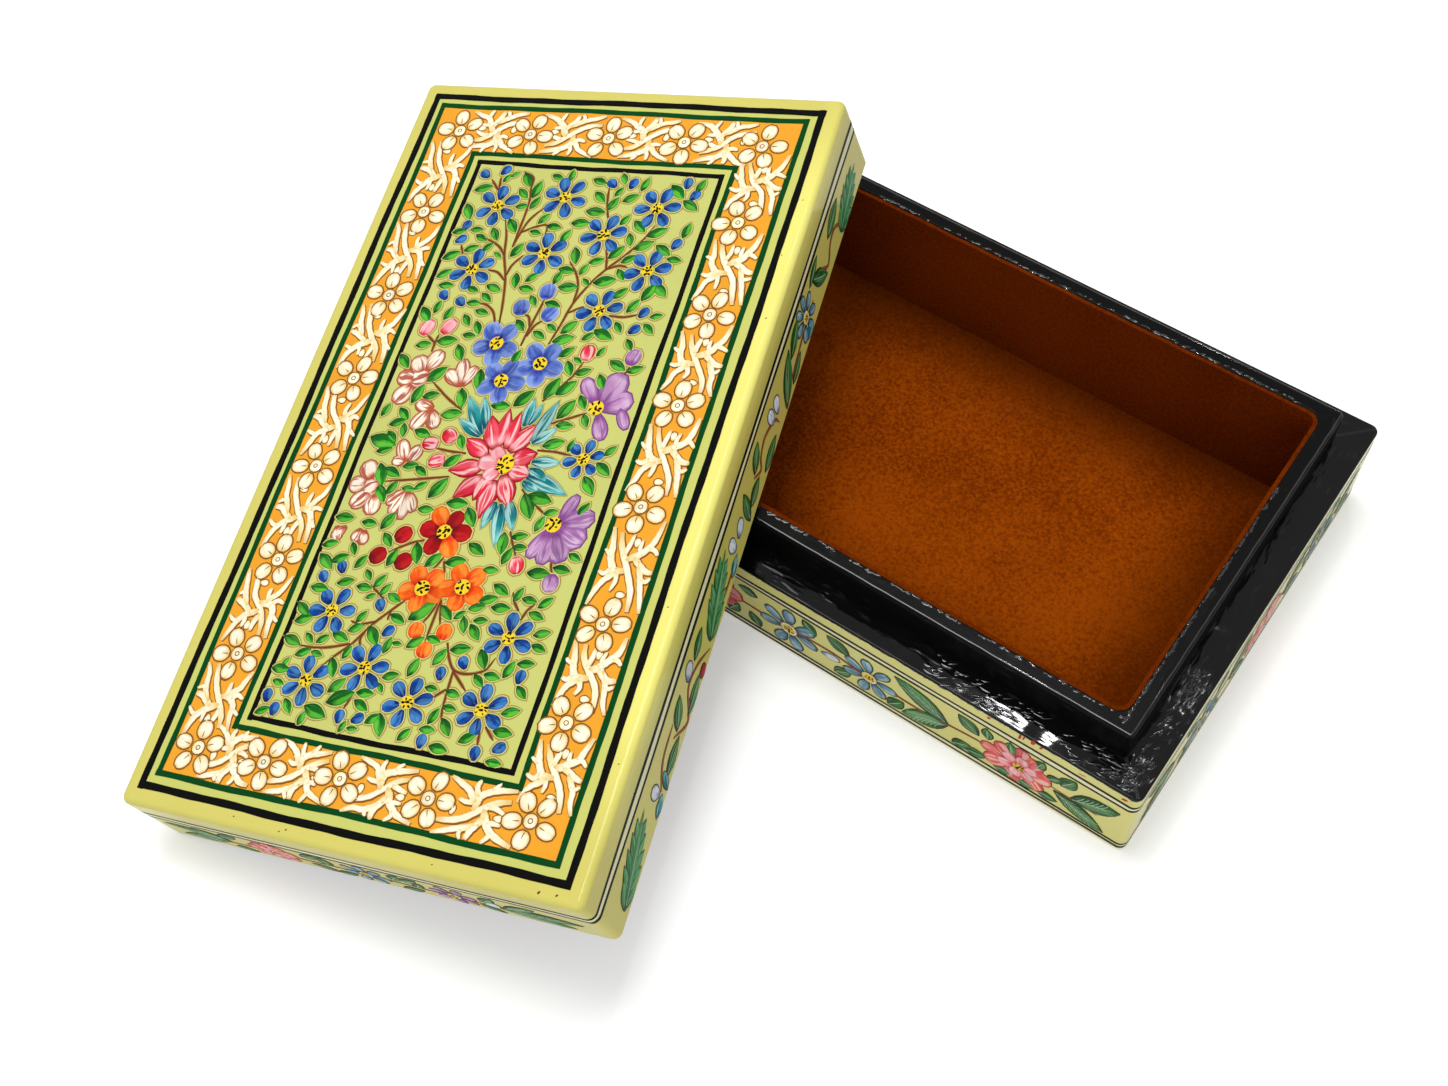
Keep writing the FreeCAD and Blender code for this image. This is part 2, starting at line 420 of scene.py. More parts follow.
def lid_coat():
    """Yellow-green outside with a painted highlight, paler along one long edge, and black inside and under
    the rim.
    """
    material, tree, shader = new_material("lid coat", 0.35, 0.08)
    mapping = tree.nodes.new("ShaderNodeMapping")
    mapping.vector_type = "TEXTURE"
    mapping.inputs["Location"].default_value = lid_matrix.translation
    mapping.inputs["Rotation"].default_value = lid_matrix.to_euler("XYZ")
    feed(tree, object_place(tree), mapping.inputs["Vector"])
    x, y, z = split(tree, mapping.outputs[0])
    # Painted highlight: the ground turns paler along one long edge of the top, where light falls on its
    # rounded edge
    across = step(tree, y, highlight_across[0] * mm, highlight_across[1] * mm)
    upward = step(tree, z, highlight_up[0] * mm, highlight_up[1] * mm)
    from_middle = reckon(tree, "ABSOLUTE", reckon(tree, "SUBTRACT", x, highlight_middle * mm))
    along = step(tree, from_middle, highlight_along[0] * mm, highlight_along[1] * mm)
    painted_highlight = reckon(tree, "MULTIPLY", reckon(tree, "MULTIPLY", across, upward), along)
    ground = mix(tree, painted_highlight, paint(*lid_ground), paint(*highlight_ground))
    yellow = use_group(tree, coat_group, Color=ground, Speck=paint(*speck_colour), Specks=0.85, Clouds=0.12)
    mask = step(tree, z, *((lid_size[2] - depth) * mm for depth in black_from_top))
    for place, size in ((x, lid_size[0]), (y, lid_size[1])):
        edges = ((size / 2 - depth) * mm for depth in black_from_side)
        mask = reckon(tree, "MULTIPLY", mask, step(tree, reckon(tree, "ABSOLUTE", place), *edges))
    feed(tree, mix(tree, mask, yellow["Color"], paint(*black_colour)), shader["Base Color"])
    feed(tree, yellow["Roughness"], shader["Roughness"])
    raise_by(tree, shader, yellow["Height"], 0.0001, 0.4)
    return material


def black_lacquer():
    """Thinner, duller black on the lip and the floor board."""
    material, tree, shader = new_material("black lacquer", 0.0)
    made = use_group(tree, lacquer_group, Color=paint(*black_colour), Drops=0.5)
    feed(tree, made["Color"], shader["Base Color"])
    shader["Roughness"].default_value = 0.3
    shader["Specular IOR Level"].default_value = 0.06
    raise_by(tree, shader, made["Height"], 0.00006, 0.6)
    return material


def wet_lacquer():
    """Smooth black lacquer of the ridges and drops."""
    material, tree, shader = new_material("wet lacquer", 0.0)
    shader["Base Color"].default_value = paint(*black_colour)
    shader["Roughness"].default_value = 0.06
    shader["Specular IOR Level"].default_value = 0.55
    return material


def velvet(name, colour, bright, half_length=None, half_width=None):
    """Short nap with stray fibres; where half sizes are given, it is darker toward its border, with painted
    shade from the walls.
    """
    material, tree, shader = new_material(name, 0.0)
    place = object_place(tree)
    patch = noise(tree, place, 26.0, 3.0, 0.55)
    nap = noise(tree, place, 1300.0, 2.0, 0.6)
    curl = noise(tree, place, 520.0, 1.0)
    curl.node.inputs["Distortion"].default_value = 2.0
    fibre = step(tree, reckon(tree, "ABSOLUTE", reckon(tree, "SUBTRACT", curl, 0.5)), 0.05, 0.0, 0.0, 0.3)
    patch = reckon(tree, "MULTIPLY_ADD", patch, 0.65, 0.175)
    share = reckon(tree, "MULTIPLY_ADD", reckon(tree, "SUBTRACT", nap, 0.5), 0.9, patch)
    share = reckon(tree, "ADD", step(tree, share, 0.2, 0.8), fibre)
    shade = mix(tree, share, paint(*colour), paint(*bright))
    # Painted shade: the colour is darkened toward the walls of the compartment
    if half_length:
        x, y, z = split(tree, place)
        end = reckon(tree, "SUBTRACT", half_length * mm, reckon(tree, "ABSOLUTE", x))
        side = reckon(tree, "SUBTRACT", half_width * mm, reckon(tree, "ABSOLUTE", y))
        away_from_wall_shade = step(tree, reckon(tree, "MINIMUM", end, side), 0.0, 26 * mm, 0.2, 1.0)
        shade = mix(tree, away_from_wall_shade, paint(*(0.66 * part for part in colour)), shade)
    feed(tree, shade, shader["Base Color"])
    shader["Roughness"].default_value = 1.0
    shader["Specular IOR Level"].default_value = 0.02
    shader["Sheen Weight"].default_value = 0.06
    shader["Sheen Roughness"].default_value = 0.5
    shader["Sheen Tint"].default_value = paint(220, 96, 10)
    raise_by(tree, shader, nap, 0.0002, 0.5)
    return material


# Brushed paints: root, body, tip, light and its share, then streak with its share and number, edge with
# its share and, where it differs, the gloss
finishes = {
    "base coat": base_coat(),
    "lid coat": lid_coat(),
    "black lacquer": black_lacquer(),
    "velvet": velvet("velvet", (112, 42, 0), (146, 62, 2)),
    # The floor velvet is darkened toward its border with painted shade
    "floor velvet": velvet("floor velvet", (106, 38, 0), (164, 74, 4), lining_length / 2, lining_width / 2),
    # The wall velvet is a darker copy of the same cloth: painted shade on the walls of the compartment
    "shaded wall velvet": velvet("shaded wall velvet", (82, 27, 0), (110, 43, 1)),
    "raw edge": plain_paint("velvet raw edge", (222, 108, 30)),
    "panel": plain_paint("panel ground", (203, 206, 116), 0.25),
    "pale strip": plain_paint("pale strip", (204, 207, 110), 0.15),
    "cream strip": plain_paint("cream strip", (246, 240, 196), 0.1),
    "orange": plain_paint("orange band", (243, 166, 46), 0.3),
    "black": line_paint("black line", (7, 7, 6)),
    "dark green": line_paint("dark green line", (12, 22, 10)),
    "green": line_paint("green line", (4, 68, 26)),
    "tan": plain_paint("tan outline", (168, 134, 70)),
    "halo": plain_paint("pale halo", (208, 209, 120)),
    "brown": plain_paint("brown outline", (136, 82, 30)),
    "cream": brushed_paint(
        "cream relief", (246, 224, 164), (255, 246, 216), (254, 240, 202), (255, 251, 234), 0.6,
        (244, 216, 146), 0.35, 3.0, (228, 186, 102), 0.7),
    "wet lacquer": wet_lacquer(),
    "stem": plain_paint("stem brown", (112, 54, 26)),
    "red stem": plain_paint("red-brown stem", (166, 82, 50)),
    "ink": line_paint("dark outline", (36, 38, 26)),
    "leaf": brushed_paint(
        "leaf green", (0, 64, 16), (4, 98, 18), (16, 122, 24), (88, 186, 48), 0.85,
        (114, 202, 80), 0.25, 4.0, (0, 68, 18), 0.5),
    "side leaf": brushed_paint(
        "side leaf green", (0, 46, 8), (4, 80, 18), (24, 108, 34), (70, 148, 74), 0.4,
        (160, 204, 146), 0.35, 7.0, (2, 38, 12), 0.65, 0.04),
    "vine leaf": brushed_paint(
        "vine leaf green", (6, 84, 40), (22, 120, 56), (64, 154, 86), (104, 184, 116), 0.6,
        (170, 212, 160), 0.3, 6.0, (6, 60, 32), 0.7),
    "vein": plain_paint("pale vein", (168, 202, 160)),
    "blue": brushed_paint(
        "blue petal", (0, 14, 74), (4, 58, 136), (14, 86, 164), (76, 144, 204), 0.5,
        (112, 174, 226), 0.25, 4.0, (6, 44, 118), 0.4),
    "periwinkle": brushed_paint(
        "periwinkle petal", (22, 36, 124), (84, 110, 192), (110, 138, 208), (148, 170, 224), 0.5,
        (34, 54, 146), 0.6, 5.0, (146, 166, 218), 0.4),
    "side blue": brushed_paint(
        "side blue petal", (40, 86, 120), (108, 156, 176), (152, 192, 204), (196, 218, 218), 0.5,
        (52, 98, 130), 0.55, 6.0, (22, 60, 86), 0.8, 0.12),
    "bud white": brushed_paint(
        "white bud", (110, 140, 190), (226, 232, 236), (240, 242, 240), (250, 250, 246), 0.5,
        (120, 150, 200), 0.4, 5.0, (120, 130, 140), 0.4),
    "pink": brushed_paint(
        "pink petal", (250, 160, 166), (224, 44, 68), (196, 4, 30), (244, 120, 130), 0.35,
        (255, 216, 214), 0.75, 5.5, (176, 4, 28), 0.85),
    "pink cup": brushed_paint(
        "pale pink cup", (222, 56, 82), (249, 154, 162), (251, 184, 188), (252, 200, 202), 0.4,
        (255, 228, 228), 0.6, 8.0, (198, 26, 54), 0.85),
    "side rose": brushed_paint(
        "side rose petal", (200, 36, 48), (228, 78, 80), (238, 112, 106), (246, 156, 142), 0.4,
        (255, 216, 194), 0.65, 6.0, (190, 26, 40), 0.75, 0.12),
    "teal": brushed_paint(
        "teal leaf", (0, 70, 84), (10, 116, 122), (122, 200, 194), (70, 168, 164), 0.4,
        (190, 232, 224), 0.65, 5.0, (0, 84, 96), 0.6),
    "red": brushed_paint(
        "dark red petal", (100, 0, 8), (154, 0, 14), (174, 4, 18), (196, 26, 28), 0.5,
        (206, 50, 46), 0.2, 4.0, (110, 0, 10), 0.5),
    "vermilion": brushed_paint(
        "orange petal", (198, 34, 2), (240, 86, 8), (247, 118, 20), (252, 154, 52), 0.5,
        (252, 172, 78), 0.3, 5.0, (208, 52, 6), 0.5),
    "lilac": brushed_paint(
        "lilac petal", (126, 60, 132), (186, 136, 184), (206, 166, 202), (218, 186, 214), 0.4,
        (122, 64, 132), 0.65, 7.0, (138, 80, 140), 0.65),
    "blush": brushed_paint(
        "blush petal", (176, 70, 44), (252, 230, 204), (254, 240, 220), (255, 246, 232), 0.4,
        (160, 56, 32), 0.9, 5.5, (180, 90, 60), 0.7),
    "yellow": plain_paint("yellow centre", (246, 210, 42), 0.3),
    "dot": line_paint("black dot", (12, 10, 8)),
    "pink line": plain_paint("red petal outline", (158, 14, 34)),
    "lilac line": plain_paint("violet petal outline", (124, 66, 130)),
    "blush line": plain_paint("rust petal outline", (168, 84, 56)),
    "speck red": plain_paint("red speck", (190, 36, 28)),
}


# Patterns, each modelled once and then copied

def take_pattern(piece):
    """Points, faces and point UVs of a modelled pattern, which is then removed."""
    mesh = piece.data
    points = np.array([vertex.co for vertex in mesh.vertices])
    faces = [tuple(polygon.vertices) for polygon in mesh.polygons]
    spots = np.zeros((len(points), 2))
    for loop in mesh.loops:
        spots[loop.vertex_index] = mesh.uv_layers.active.data[loop.index].uv
    bpy.data.objects.remove(piece)
    return points, faces, spots


def pick(piece, test):
    """Selects the points of a piece in edit mode that pass a test."""
    edit = bmesh.from_edit_mesh(piece.data)
    for vertex in edit.verts:
        vertex.select = test(vertex.co)
    edit.select_flush_mode()
    bmesh.update_edit_mesh(piece.data)


def blade(widths, columns=4):
    """A blade one unit long and wide, lying along Y, swelling in the middle, with a width for each row."""
    rows = len(widths) - 1
    bpy.ops.object.select_all(action="DESELECT")
    bpy.ops.mesh.primitive_grid_add(x_subdivisions=columns, y_subdivisions=rows, size=1, location=(0, 0, 0))
    piece = bpy.context.object
    bpy.ops.object.mode_set(mode="EDIT")
    bpy.ops.mesh.select_mode(type="VERT")
    pick(piece, lambda co: abs(co.x) < 0.45 and abs(co.y) < 0.49)
    bpy.ops.transform.translate(value=(0, 0, 0.65))
    pick(piece, lambda co: abs(co.x) < 0.1 and abs(co.y) < 0.49)
    bpy.ops.transform.translate(value=(0, 0, 0.35))
    for row, width in enumerate(widths):
        level = row / rows - 0.5
        pick(piece, lambda co: abs(co.y - level) < 0.02)
        bpy.ops.transform.resize(value=(width, 1, 1), center_override=(0, level, 0))
    bpy.ops.object.mode_set(mode="OBJECT")
    return take_pattern(piece)


def button(sides):
    """A low round button one unit across."""
    bpy.ops.object.select_all(action="DESELECT")
    bpy.ops.mesh.primitive_circle_add(vertices=sides, radius=0.5, fill_type="NGON", location=(0, 0, 0))
    piece = bpy.context.object
    bpy.ops.object.mode_set(mode="EDIT")
    bpy.ops.mesh.select_all(action="SELECT")
    bpy.ops.mesh.inset(thickness=0.16)
    bpy.ops.transform.translate(value=(0, 0, 1))
    bpy.ops.object.mode_set(mode="OBJECT")
    return take_pattern(piece)


patterns = {
    "leaf": blade((0.1, 0.62, 0.93, 1.0, 0.86, 0.56, 0.08)),
    "petal": blade((0.3, 0.6, 0.85, 0.99, 1.0, 0.84, 0.4)),
    "round": blade((0.36, 0.8, 0.97, 1.0, 0.97, 0.8, 0.36)),
    "point": blade((0.3, 0.72, 0.96, 1.0, 0.8, 0.46, 0.04)),
    "button": button(12),
    "dot": button(6),
}


def smooth(points, steps=4):
    """Rounded line through given points."""
    points = [np.array(point, float) for point in points]
    if len(points) < 3:
        return [points[0] + (points[-1] - points[0]) * share / steps for share in range(steps + 1)]
    ends = [2 * points[0] - points[1]] + points + [2 * points[-1] - points[-2]]
    line = []
    for index in range(1, len(ends) - 2):
        before, start, end, after = ends[index - 1:index + 3]
        for part in range(steps):
            t = part / steps
            square = 2 * before - 5 * start + 4 * end - after
            cube = 3 * start - before - 3 * end + after
            line.append(0.5 * (2 * start + (end - before) * t + square * t * t + cube * t ** 3))
    line.append(points[-1])
    return line


class Coat:
    """One paint of the painting, gathered touch by touch and made into one piece."""

    def __init__(self):
        self.points = []
        self.faces = []
        self.spots = []
        self.tints = []
        self.count = 0

    def lay(self, place, points, faces, spots, tint):
        """Adds one touch, with its points carried to the frame."""
        matrix = np.array(place)
        self.points.append(points @ matrix[:3, :3].T + matrix[:3, 3])
        self.faces += [tuple(index + self.count for index in one) for one in faces]
        self.spots.append(spots)
        self.tints.append(np.full(len(points), tint))
        self.count += len(points)

    def stamp(self, place, pattern, x, y, angle, length, width, low, rise, tint=None):
        """Copy of a pattern with its middle at x, y and its length turned to an angle in degrees."""
        shape, faces, spots = patterns[pattern]
        turn = math.radians(angle) - math.pi / 2
        flat = shape * (width, length, rise)
        across = flat[:, 0] * math.cos(turn) - flat[:, 1] * math.sin(turn) + x
        along = flat[:, 0] * math.sin(turn) + flat[:, 1] * math.cos(turn) + y
        points = np.stack([across, along, flat[:, 2] + low], 1)
        self.lay(place, points, faces, spots, hand.random() if tint is None else tint)

    def stroke(self, place, line, width, low, rise, start=1.0, end=1.0, tint=None, taper=0.0):
        """Brush stroke along a line, with the share of its width at start and end and how far it thins."""
        line = [np.array(point, float) for point in line]
        points = []
        spots = []
        count = len(line)
        for index, point in enumerate(line):
            ahead = line[min(index + 1, count - 1)] - line[max(index - 1, 0)]
            normal = np.array((-ahead[1], ahead[0])) / max(np.hypot(*ahead), 1e-9)
            share = index / (count - 1)
            press = min(1.0, start + share * 5 * (1 - start), end + (1 - share) * 5 * (1 - end))
            half = width / 2 * press * (1 - taper * share) * (1 + 0.06 * math.sin(index * 1.7 + count))
            for side, lift in ((-1, 0), (0, rise), (1, 0)):
                points.append((*(point + normal * half * side), low + lift))
                spots.append((side / 2 + 0.5, share))
        faces = []
        for index in range(count - 1):
            first = index * 3
            faces.append((first, first + 1, first + 4, first + 3))
            faces.append((first + 1, first + 2, first + 5, first + 4))
        faces = [one[::-1] for one in faces]
        self.lay(place, np.array(points), faces, np.array(spots), hand.random() if tint is None else tint)

    def hoop(self, matrix, size, level, width, low, rise):
        """Line drawn round the four sides of a box at one height."""
        x, y = size[0] / 2, size[1] / 2
        outline = []
        for centre_x, centre_y, first in ((x, -y, -90), (x, y, 0), (-x, y, 90), (-x, -y, 180)):
            middle = Vector((centre_x - math.copysign(corner_round, centre_x),
                             centre_y - math.copysign(corner_round, centre_y)))
            for part in range(7):
                turn = math.radians(first + part * 15)
                out = Vector((math.cos(turn), math.sin(turn)))
                outline.append((middle + out * corner_round, out))
        loop = []
        for index, (point, out) in enumerate(outline):
            following = outline[(index + 1) % len(outline)]
            parts = max(1, int((following[0] - point).length / 5))
            for part in range(parts):
                share = part / parts
                loop.append((point.lerp(following[0], share), out.lerp(following[1], share).normalized()))
        points = []
        spots = []
        for index, (point, out) in enumerate(loop):
            turn = 2 * math.pi * index / len(loop)
            sway = 0.16 * math.sin(5 * turn + level) + 0.1 * math.sin(13 * turn + 2 * level)
            half = width / 2 * (1 + 0.15 * math.sin(9 * turn + level))
            for side, lift in ((-1, 0), (0, rise), (1, 0)):
                shifted = point + out * (low + lift)
                points.append((shifted.x, shifted.y, level + sway + side * half))
                spots.append((side / 2 + 0.5, index / len(loop)))
        faces = []
        for index in range(len(loop)):
            first = index * 3
            second = (index + 1) % len(loop) * 3
            faces.append((first, second, second + 1, first + 1))
            faces.append((first + 1, second + 1, second + 2, first + 2))
        self.lay(matrix @ Matrix.Diagonal((mm, mm, mm, 1)), np.array(points), faces, np.array(spots), 0.5)

    def make(self, name, finish, body):
        """The gathered touches as one piece that rides on a body."""
        mesh = bpy.data.meshes.new(name)
        mesh.from_pydata(np.concatenate(self.points).tolist(), [], self.faces)
        spots = np.concatenate(self.spots)
        owners = np.zeros(len(mesh.loops), np.int32)
        mesh.loops.foreach_get("vertex_index", owners)
        layer = mesh.uv_layers.new(name="UVMap")
        layer.data.foreach_set("uv", spots[owners].astype(np.float32).ravel())
        tint = mesh.attributes.new("tint", "FLOAT", "POINT")
        tint.data.foreach_set("value", np.concatenate(self.tints).astype(np.float32))
        mesh.polygons.foreach_set("use_smooth", [True] * len(mesh.polygons))
        mesh.materials.append(finishes[finish])
        mesh.update()
        piece = bpy.data.objects.new(name, mesh)
        bpy.context.collection.objects.link(piece)
        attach(piece, body)


coats = {}


def coat(body, finish):
    """The coat of one paint on one body, begun at its first touch."""
    return coats.setdefault((body, finish), Coat())


# Heights of the paint over the coat, in mm
paint_level = {
    "scroll shade": 0.022, "stem shade": 0.03, "scroll": 0.036, "outline": 0.04, "halo": 0.055, "stem": 0.06,
    "fill": 0.075, "blossom shade": 0.088, "blossom": 0.1, "over": 0.12, "centre": 0.13, "side vein": 0.138,
    "vein": 0.142, "blossom vein": 0.178, "dot": 0.19, "lobed vein": 0.19,
}


def touch(body, place, finish, pattern, x, y, angle, length, width, low="fill", rim=0.44, line="tan",
          halo=True):
    """One petal or leaf: its drawn outline, the pale gap inside it and its fill."""
    if rim:
        coat(body, line).stamp(place, pattern, x, y, angle, length + 2 * rim, width + 2 * rim,
                               paint_level["outline"], 0.01)
        if halo:
            coat(body, "halo").stamp(place, pattern, x, y, angle, length + rim, width + rim,
                                     paint_level["halo"], 0.01)
    coat(body, finish).stamp(place, pattern, x, y, angle, length, width, paint_level[low], 0.06)


def petal_between(body, place, finish, pattern, base_x, base_y, tip_x, tip_y, width, **options):
    """Petal given by where it starts and ends."""
    angle = math.degrees(math.atan2(tip_y - base_y, tip_x - base_x))
    length = math.hypot(tip_x - base_x, tip_y - base_y)
    middle_x, middle_y = (base_x + tip_x) / 2, (base_y + tip_y) / 2
    touch(body, place, finish, pattern, middle_x, middle_y, angle, length, width, **options)


def eye(body, place, x, y, radius, rings=((2, 0.15), (6, 0.66))):
    """Yellow flower centre with uneven rings of black dashes: how many and how far out."""
    coat(body, "yellow").stamp(place, "button", x, y, 0, 2 * radius, 2 * radius, paint_level["centre"], 0.06)
    for count, share in rings:
        turn = hand.random() * 6.28
        for number in range(count):
            where = turn + number * 2 * math.pi / count + hand.uniform(-0.4, 0.4)
            out = radius * share * hand.uniform(0.75, 1.2)
            size = min(0.55, radius * 0.36) * hand.uniform(0.7, 1.25)
            angle = math.degrees(where) + hand.uniform(-40, 40)
            length = size * hand.uniform(1.1, 2.2)
            coat(body, "dot").stamp(place, "dot", x + out * math.cos(where), y + out * math.sin(where), angle,
                                    length, size, paint_level["dot"], 0.03)


def bloom(body, place, finish, x, y, count, turn, radius, length, width, centre, pattern="petal", **options):
    """Open flower seen from above."""
    for number in range(count):
        angle = turn + number * 360 / count + hand.uniform(-4, 4)
        where = math.radians(angle)
        touch(body, place, finish, pattern, x + radius * math.cos(where), y + radius * math.sin(where), angle,
              length * hand.uniform(0.94, 1.06), width * hand.uniform(0.94, 1.06), **options)
    eye(body, place, x, y, centre)


def twig(body, place, points, width=0.42, finish="stem", shade="tan"):
    """Stem with a drawn edge."""
    line = smooth(points)
    coat(body, shade).stroke(place, line, width + 0.36, paint_level["stem shade"], 0.005, 0.6, 0.3)
    coat(body, finish).stroke(place, line, width, paint_level["stem"], 0.03, 1.0, 0.5)


# Painting of the lid top

bare_top = face(lid_matrix, lid_size, "top")
top = bare_top @ Matrix.Translation((0, 0, 0.03))


def flat_panel(name, finish, left, right, near, far, height):
    """Flat field of paint on the lid top."""
    bpy.ops.object.select_all(action="DESELECT")
    bpy.ops.mesh.primitive_plane_add(size=1, location=(0, 0, 0))
    piece = bpy.context.object
    piece.name = name
    piece.data.name = name
    bpy.ops.object.mode_set(mode="EDIT")
    bpy.ops.mesh.select_all(action="SELECT")
    bpy.ops.transform.resize(value=(right - left, far - near, 1))
    bpy.ops.transform.translate(value=((left + right) / 2, (near + far) / 2, height))
    bpy.ops.object.mode_set(mode="OBJECT")
    piece.data.transform(bare_top)
    piece.data.materials.append(finishes[finish])
    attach(piece, "lid")


def ruled_frame(finish, left, right, near, far, width):
    """Four hand-drawn lines round the lid top."""
    corners = [np.array(point, float) for point in ((left, far), (right, far), (right, near), (left, near))]
    for number in range(4):
        start = corners[number]
        end = corners[(number + 1) % 4]
        way = (end - start) / np.linalg.norm(end - start)
        normal = np.array((-way[1], way[0]))
        start = start - way * width / 2
        end = end + way * width / 2
        parts = int(np.linalg.norm(end - start) / 2.5)
        phase = hand.random() * 6
        line = []
        for part in range(parts + 1):
            share = part / parts
            sway = 0.13 * math.sin(share * 9 + phase) + 0.06 * math.sin(share * 31 + 2 * phase)
            line.append(start + (end - start) * share + normal * sway)
        coat("lid", finish).stroke(top, line, width, 0.02, 0.05)


# Ruled frames from the outer one inward: left, right, near and far, and the field of paint inside each
outer_frame = (-47.0, 47.0, -84.0, 84.0)
band_frame = (-44.5, 43.9, -80.9, 81.6)
inner_frame = (-31.8, 31.8, -68.8, 68.8)
panel_frame = (-29.3, 29.3, -66.5, 66.5)
flat_panel("lid_outer_strip", "pale strip", *outer_frame, 0.012)
flat_panel("lid_orange_band", "orange", *band_frame, 0.02)
flat_panel("lid_inner_strip", "pale strip", *inner_frame, 0.028)
flat_panel("lid_panel_ground", "panel", *panel_frame, 0.036)
ruled_frame("black", *outer_frame, 1.5)
ruled_frame("green", *band_frame, 1.25)
ruled_frame("green", *inner_frame, 1.2)
ruled_frame("black", *panel_frame, 1.15)

band_blossoms = {
    "top": [(-37.5, 74.6), (-19.4, 74.6), (0, 74.6), (18.1, 74.6), (36.1, 74.6)],
    "right": [(36.1, 74.6), (36.5, 55.3), (37.2, 33), (37, 11.8), (36.6, -10.8), (37, -35.5),
              (36.5, -55.5), (36.1, -74.5)],
    "bottom": [(36.1, -74.5), (14.6, -74.5), (-4.8, -74.5), (-22.3, -74.5), (-37.9, -74.5)],
    "left": [(-37.9, -74.5), (-38, -54.5), (-37.8, -33.5), (-38.2, -11.8), (-38, 9.5), (-38, 30.5),
             (-38, 52.4), (-37.5, 74.6)],
}
blossom_turns = [100, 70, 95, 60, 85, 110, 75]

# Rings in the middle of a blossom: paint, width across, height and rise
blossom_rings = [
    ("brown", 3.2, 0.15, 0.01), ("cream", 2.75, 0.16, 0.06), ("brown", 1.1, 0.222, 0.01),
    ("cream", 0.75, 0.23, 0.03),
]

# Scrolls between two blossoms: share of the way along and mm from the band's middle, width, thinning
scroll_cell = [
    (((0.22, -3.1), (0.36, -2.2), (0.48, -0.7), (0.6, 1.3), (0.72, 2.4), (0.87, 3.0)), 1.25, 0.0),
    (((0.46, -0.8), (0.43, 0.6), (0.39, 2.0), (0.33, 3.2), (0.24, 4.2), (0.1, 4.9)), 1.7, 0.45),
    (((0.41, 0.8), (0.475, 2.4), (0.52, 4.0), (0.53, 5.6)), 1.5, 0.3),
    (((0.46, 2.2), (0.56, 3.3), (0.66, 4.1), (0.76, 4.5), (0.87, 5.2)), 1.4, 0.4),
    (((0.6, 3.6), (0.61, 4.6), (0.58, 5.5)), 1.0, 0.4),
    (((0.4, 2.0), (0.34, 1.6), (0.26, 1.7)), 1.2, 0.55),
    (((0.545, -0.2), (0.55, -1.8), (0.53, -3.0), (0.46, -3.9), (0.36, -4.4), (0.2, -5.1)), 1.7, 0.45),
    (((0.54, -1.5), (0.6, -2.6), (0.66, -3.8), (0.74, -4.7), (0.86, -5.6)), 1.5, 0.45),
    (((0.53, -2.8), (0.585, -4.1), (0.57, -5.7)), 1.2, 0.4),
    (((0.56, -1.8), (0.64, -1.4), (0.72, -1.8)), 1.2, 0.55),
    (((0.43, -1.4), (0.34, -0.9), (0.24, -0.5)), 1.3, 0.55),
    (((0.45, -4.0), (0.41, -5.0), (0.38, -5.8)), 1.0, 0.4),
    (((0.33, 3.1), (0.34, 4.3), (0.38, 5.5)), 1.1, 0.4),
]
scroll_buds = [(0.745, 0.6, 90), (0.3, 0.5, 0)]
band_middle = {"top": (None, 75.2), "right": (37.85, None), "bottom": (None, -74.85), "left": (-38.15, None)}


def on_band(side, start, end, share, across):
    """Place in the band, by the share of the way between two blossoms and mm from its middle."""
    way = np.array(end, float) - np.array(start, float)
    place = np.array(start, float) + way * share
    for axis in (0, 1):
        if band_middle[side][axis] is not None:
            place[axis] = band_middle[side][axis]
            way[axis] = 0.0
    return place + np.array((-way[1], way[0])) / np.linalg.norm(way) * across


def scroll(side, start, end):
    """Cream antler scrolls and buds that fill the band between two blossoms."""
    for points, width, taper in scroll_cell:
        line = []
        for share, across in points:
            shake = np.array((hand.uniform(-0.25, 0.25), hand.uniform(-0.25, 0.25)))
            line.append(on_band(side, start, end, share, across) + shake)
        line = smooth(line, 5)
        width = width * hand.uniform(0.92, 1.08)
        shade = [point + np.array((0.14, -0.14)) for point in line]
        thinning = 0.7 * taper
        coat("lid", "brown").stroke(top, shade, width + 0.4, paint_level["scroll shade"], 0.005, 0.6, 0.62,
                                    None, thinning)
        tint = hand.uniform(0.42, 0.62)
        coat("lid", "cream").stroke(top, line, width, paint_level["scroll"], 0.06, 0.6, 0.6, tint, thinning)
    for share, across, turn in scroll_buds:
        x, y = on_band(side, start, end, share, across)
        far = on_band(side, start, end, share - 0.1, across)
        angle = math.degrees(math.atan2(far[1] - y, far[0] - x)) + turn
        coat("lid", "brown").stamp(top, "petal", x, y, angle, 2.3, 1.7, paint_level["scroll shade"], 0.005)
        coat("lid", "cream").stamp(top, "petal", x, y, angle, 1.9, 1.3, paint_level["scroll"], 0.06, 0.5)


def cream_blossom(x, y, turn):
    """Cream five-petal blossom with brown drawing."""
    for number in range(5):
        angle = turn + number * 72 + hand.uniform(-6, 6)
        where = math.radians(angle)
        px, py = x + 3.75 * math.cos(where), y + 3.75 * math.sin(where)
        length, width = hand.uniform(3.4, 3.8), hand.uniform(2.9, 3.3)
        coat("lid", "brown").stamp(top, "round", px, py, angle, length + 0.56, width + 0.56,
                                   paint_level["blossom shade"], 0.008)
        tint = hand.uniform(0.42, 0.62)
        coat("lid", "cream").stamp(top, "round", px, py, angle, length, width, paint_level["blossom"], 0.07,
                                   tint)
        vein = [(px - 1.5 * math.cos(where), py - 1.5 * math.sin(where)),
                (px - 0.2 * math.cos(where), py - 0.2 * math.sin(where))]
        coat("lid", "brown").stroke(top, smooth(vein, 2), 0.2, paint_level["blossom vein"], 0.01, 1.0, 0.3)
    for finish, across, low, rise in blossom_rings:
        coat("lid", finish).stamp(top, "button", x, y, 0, across, across, low, rise)


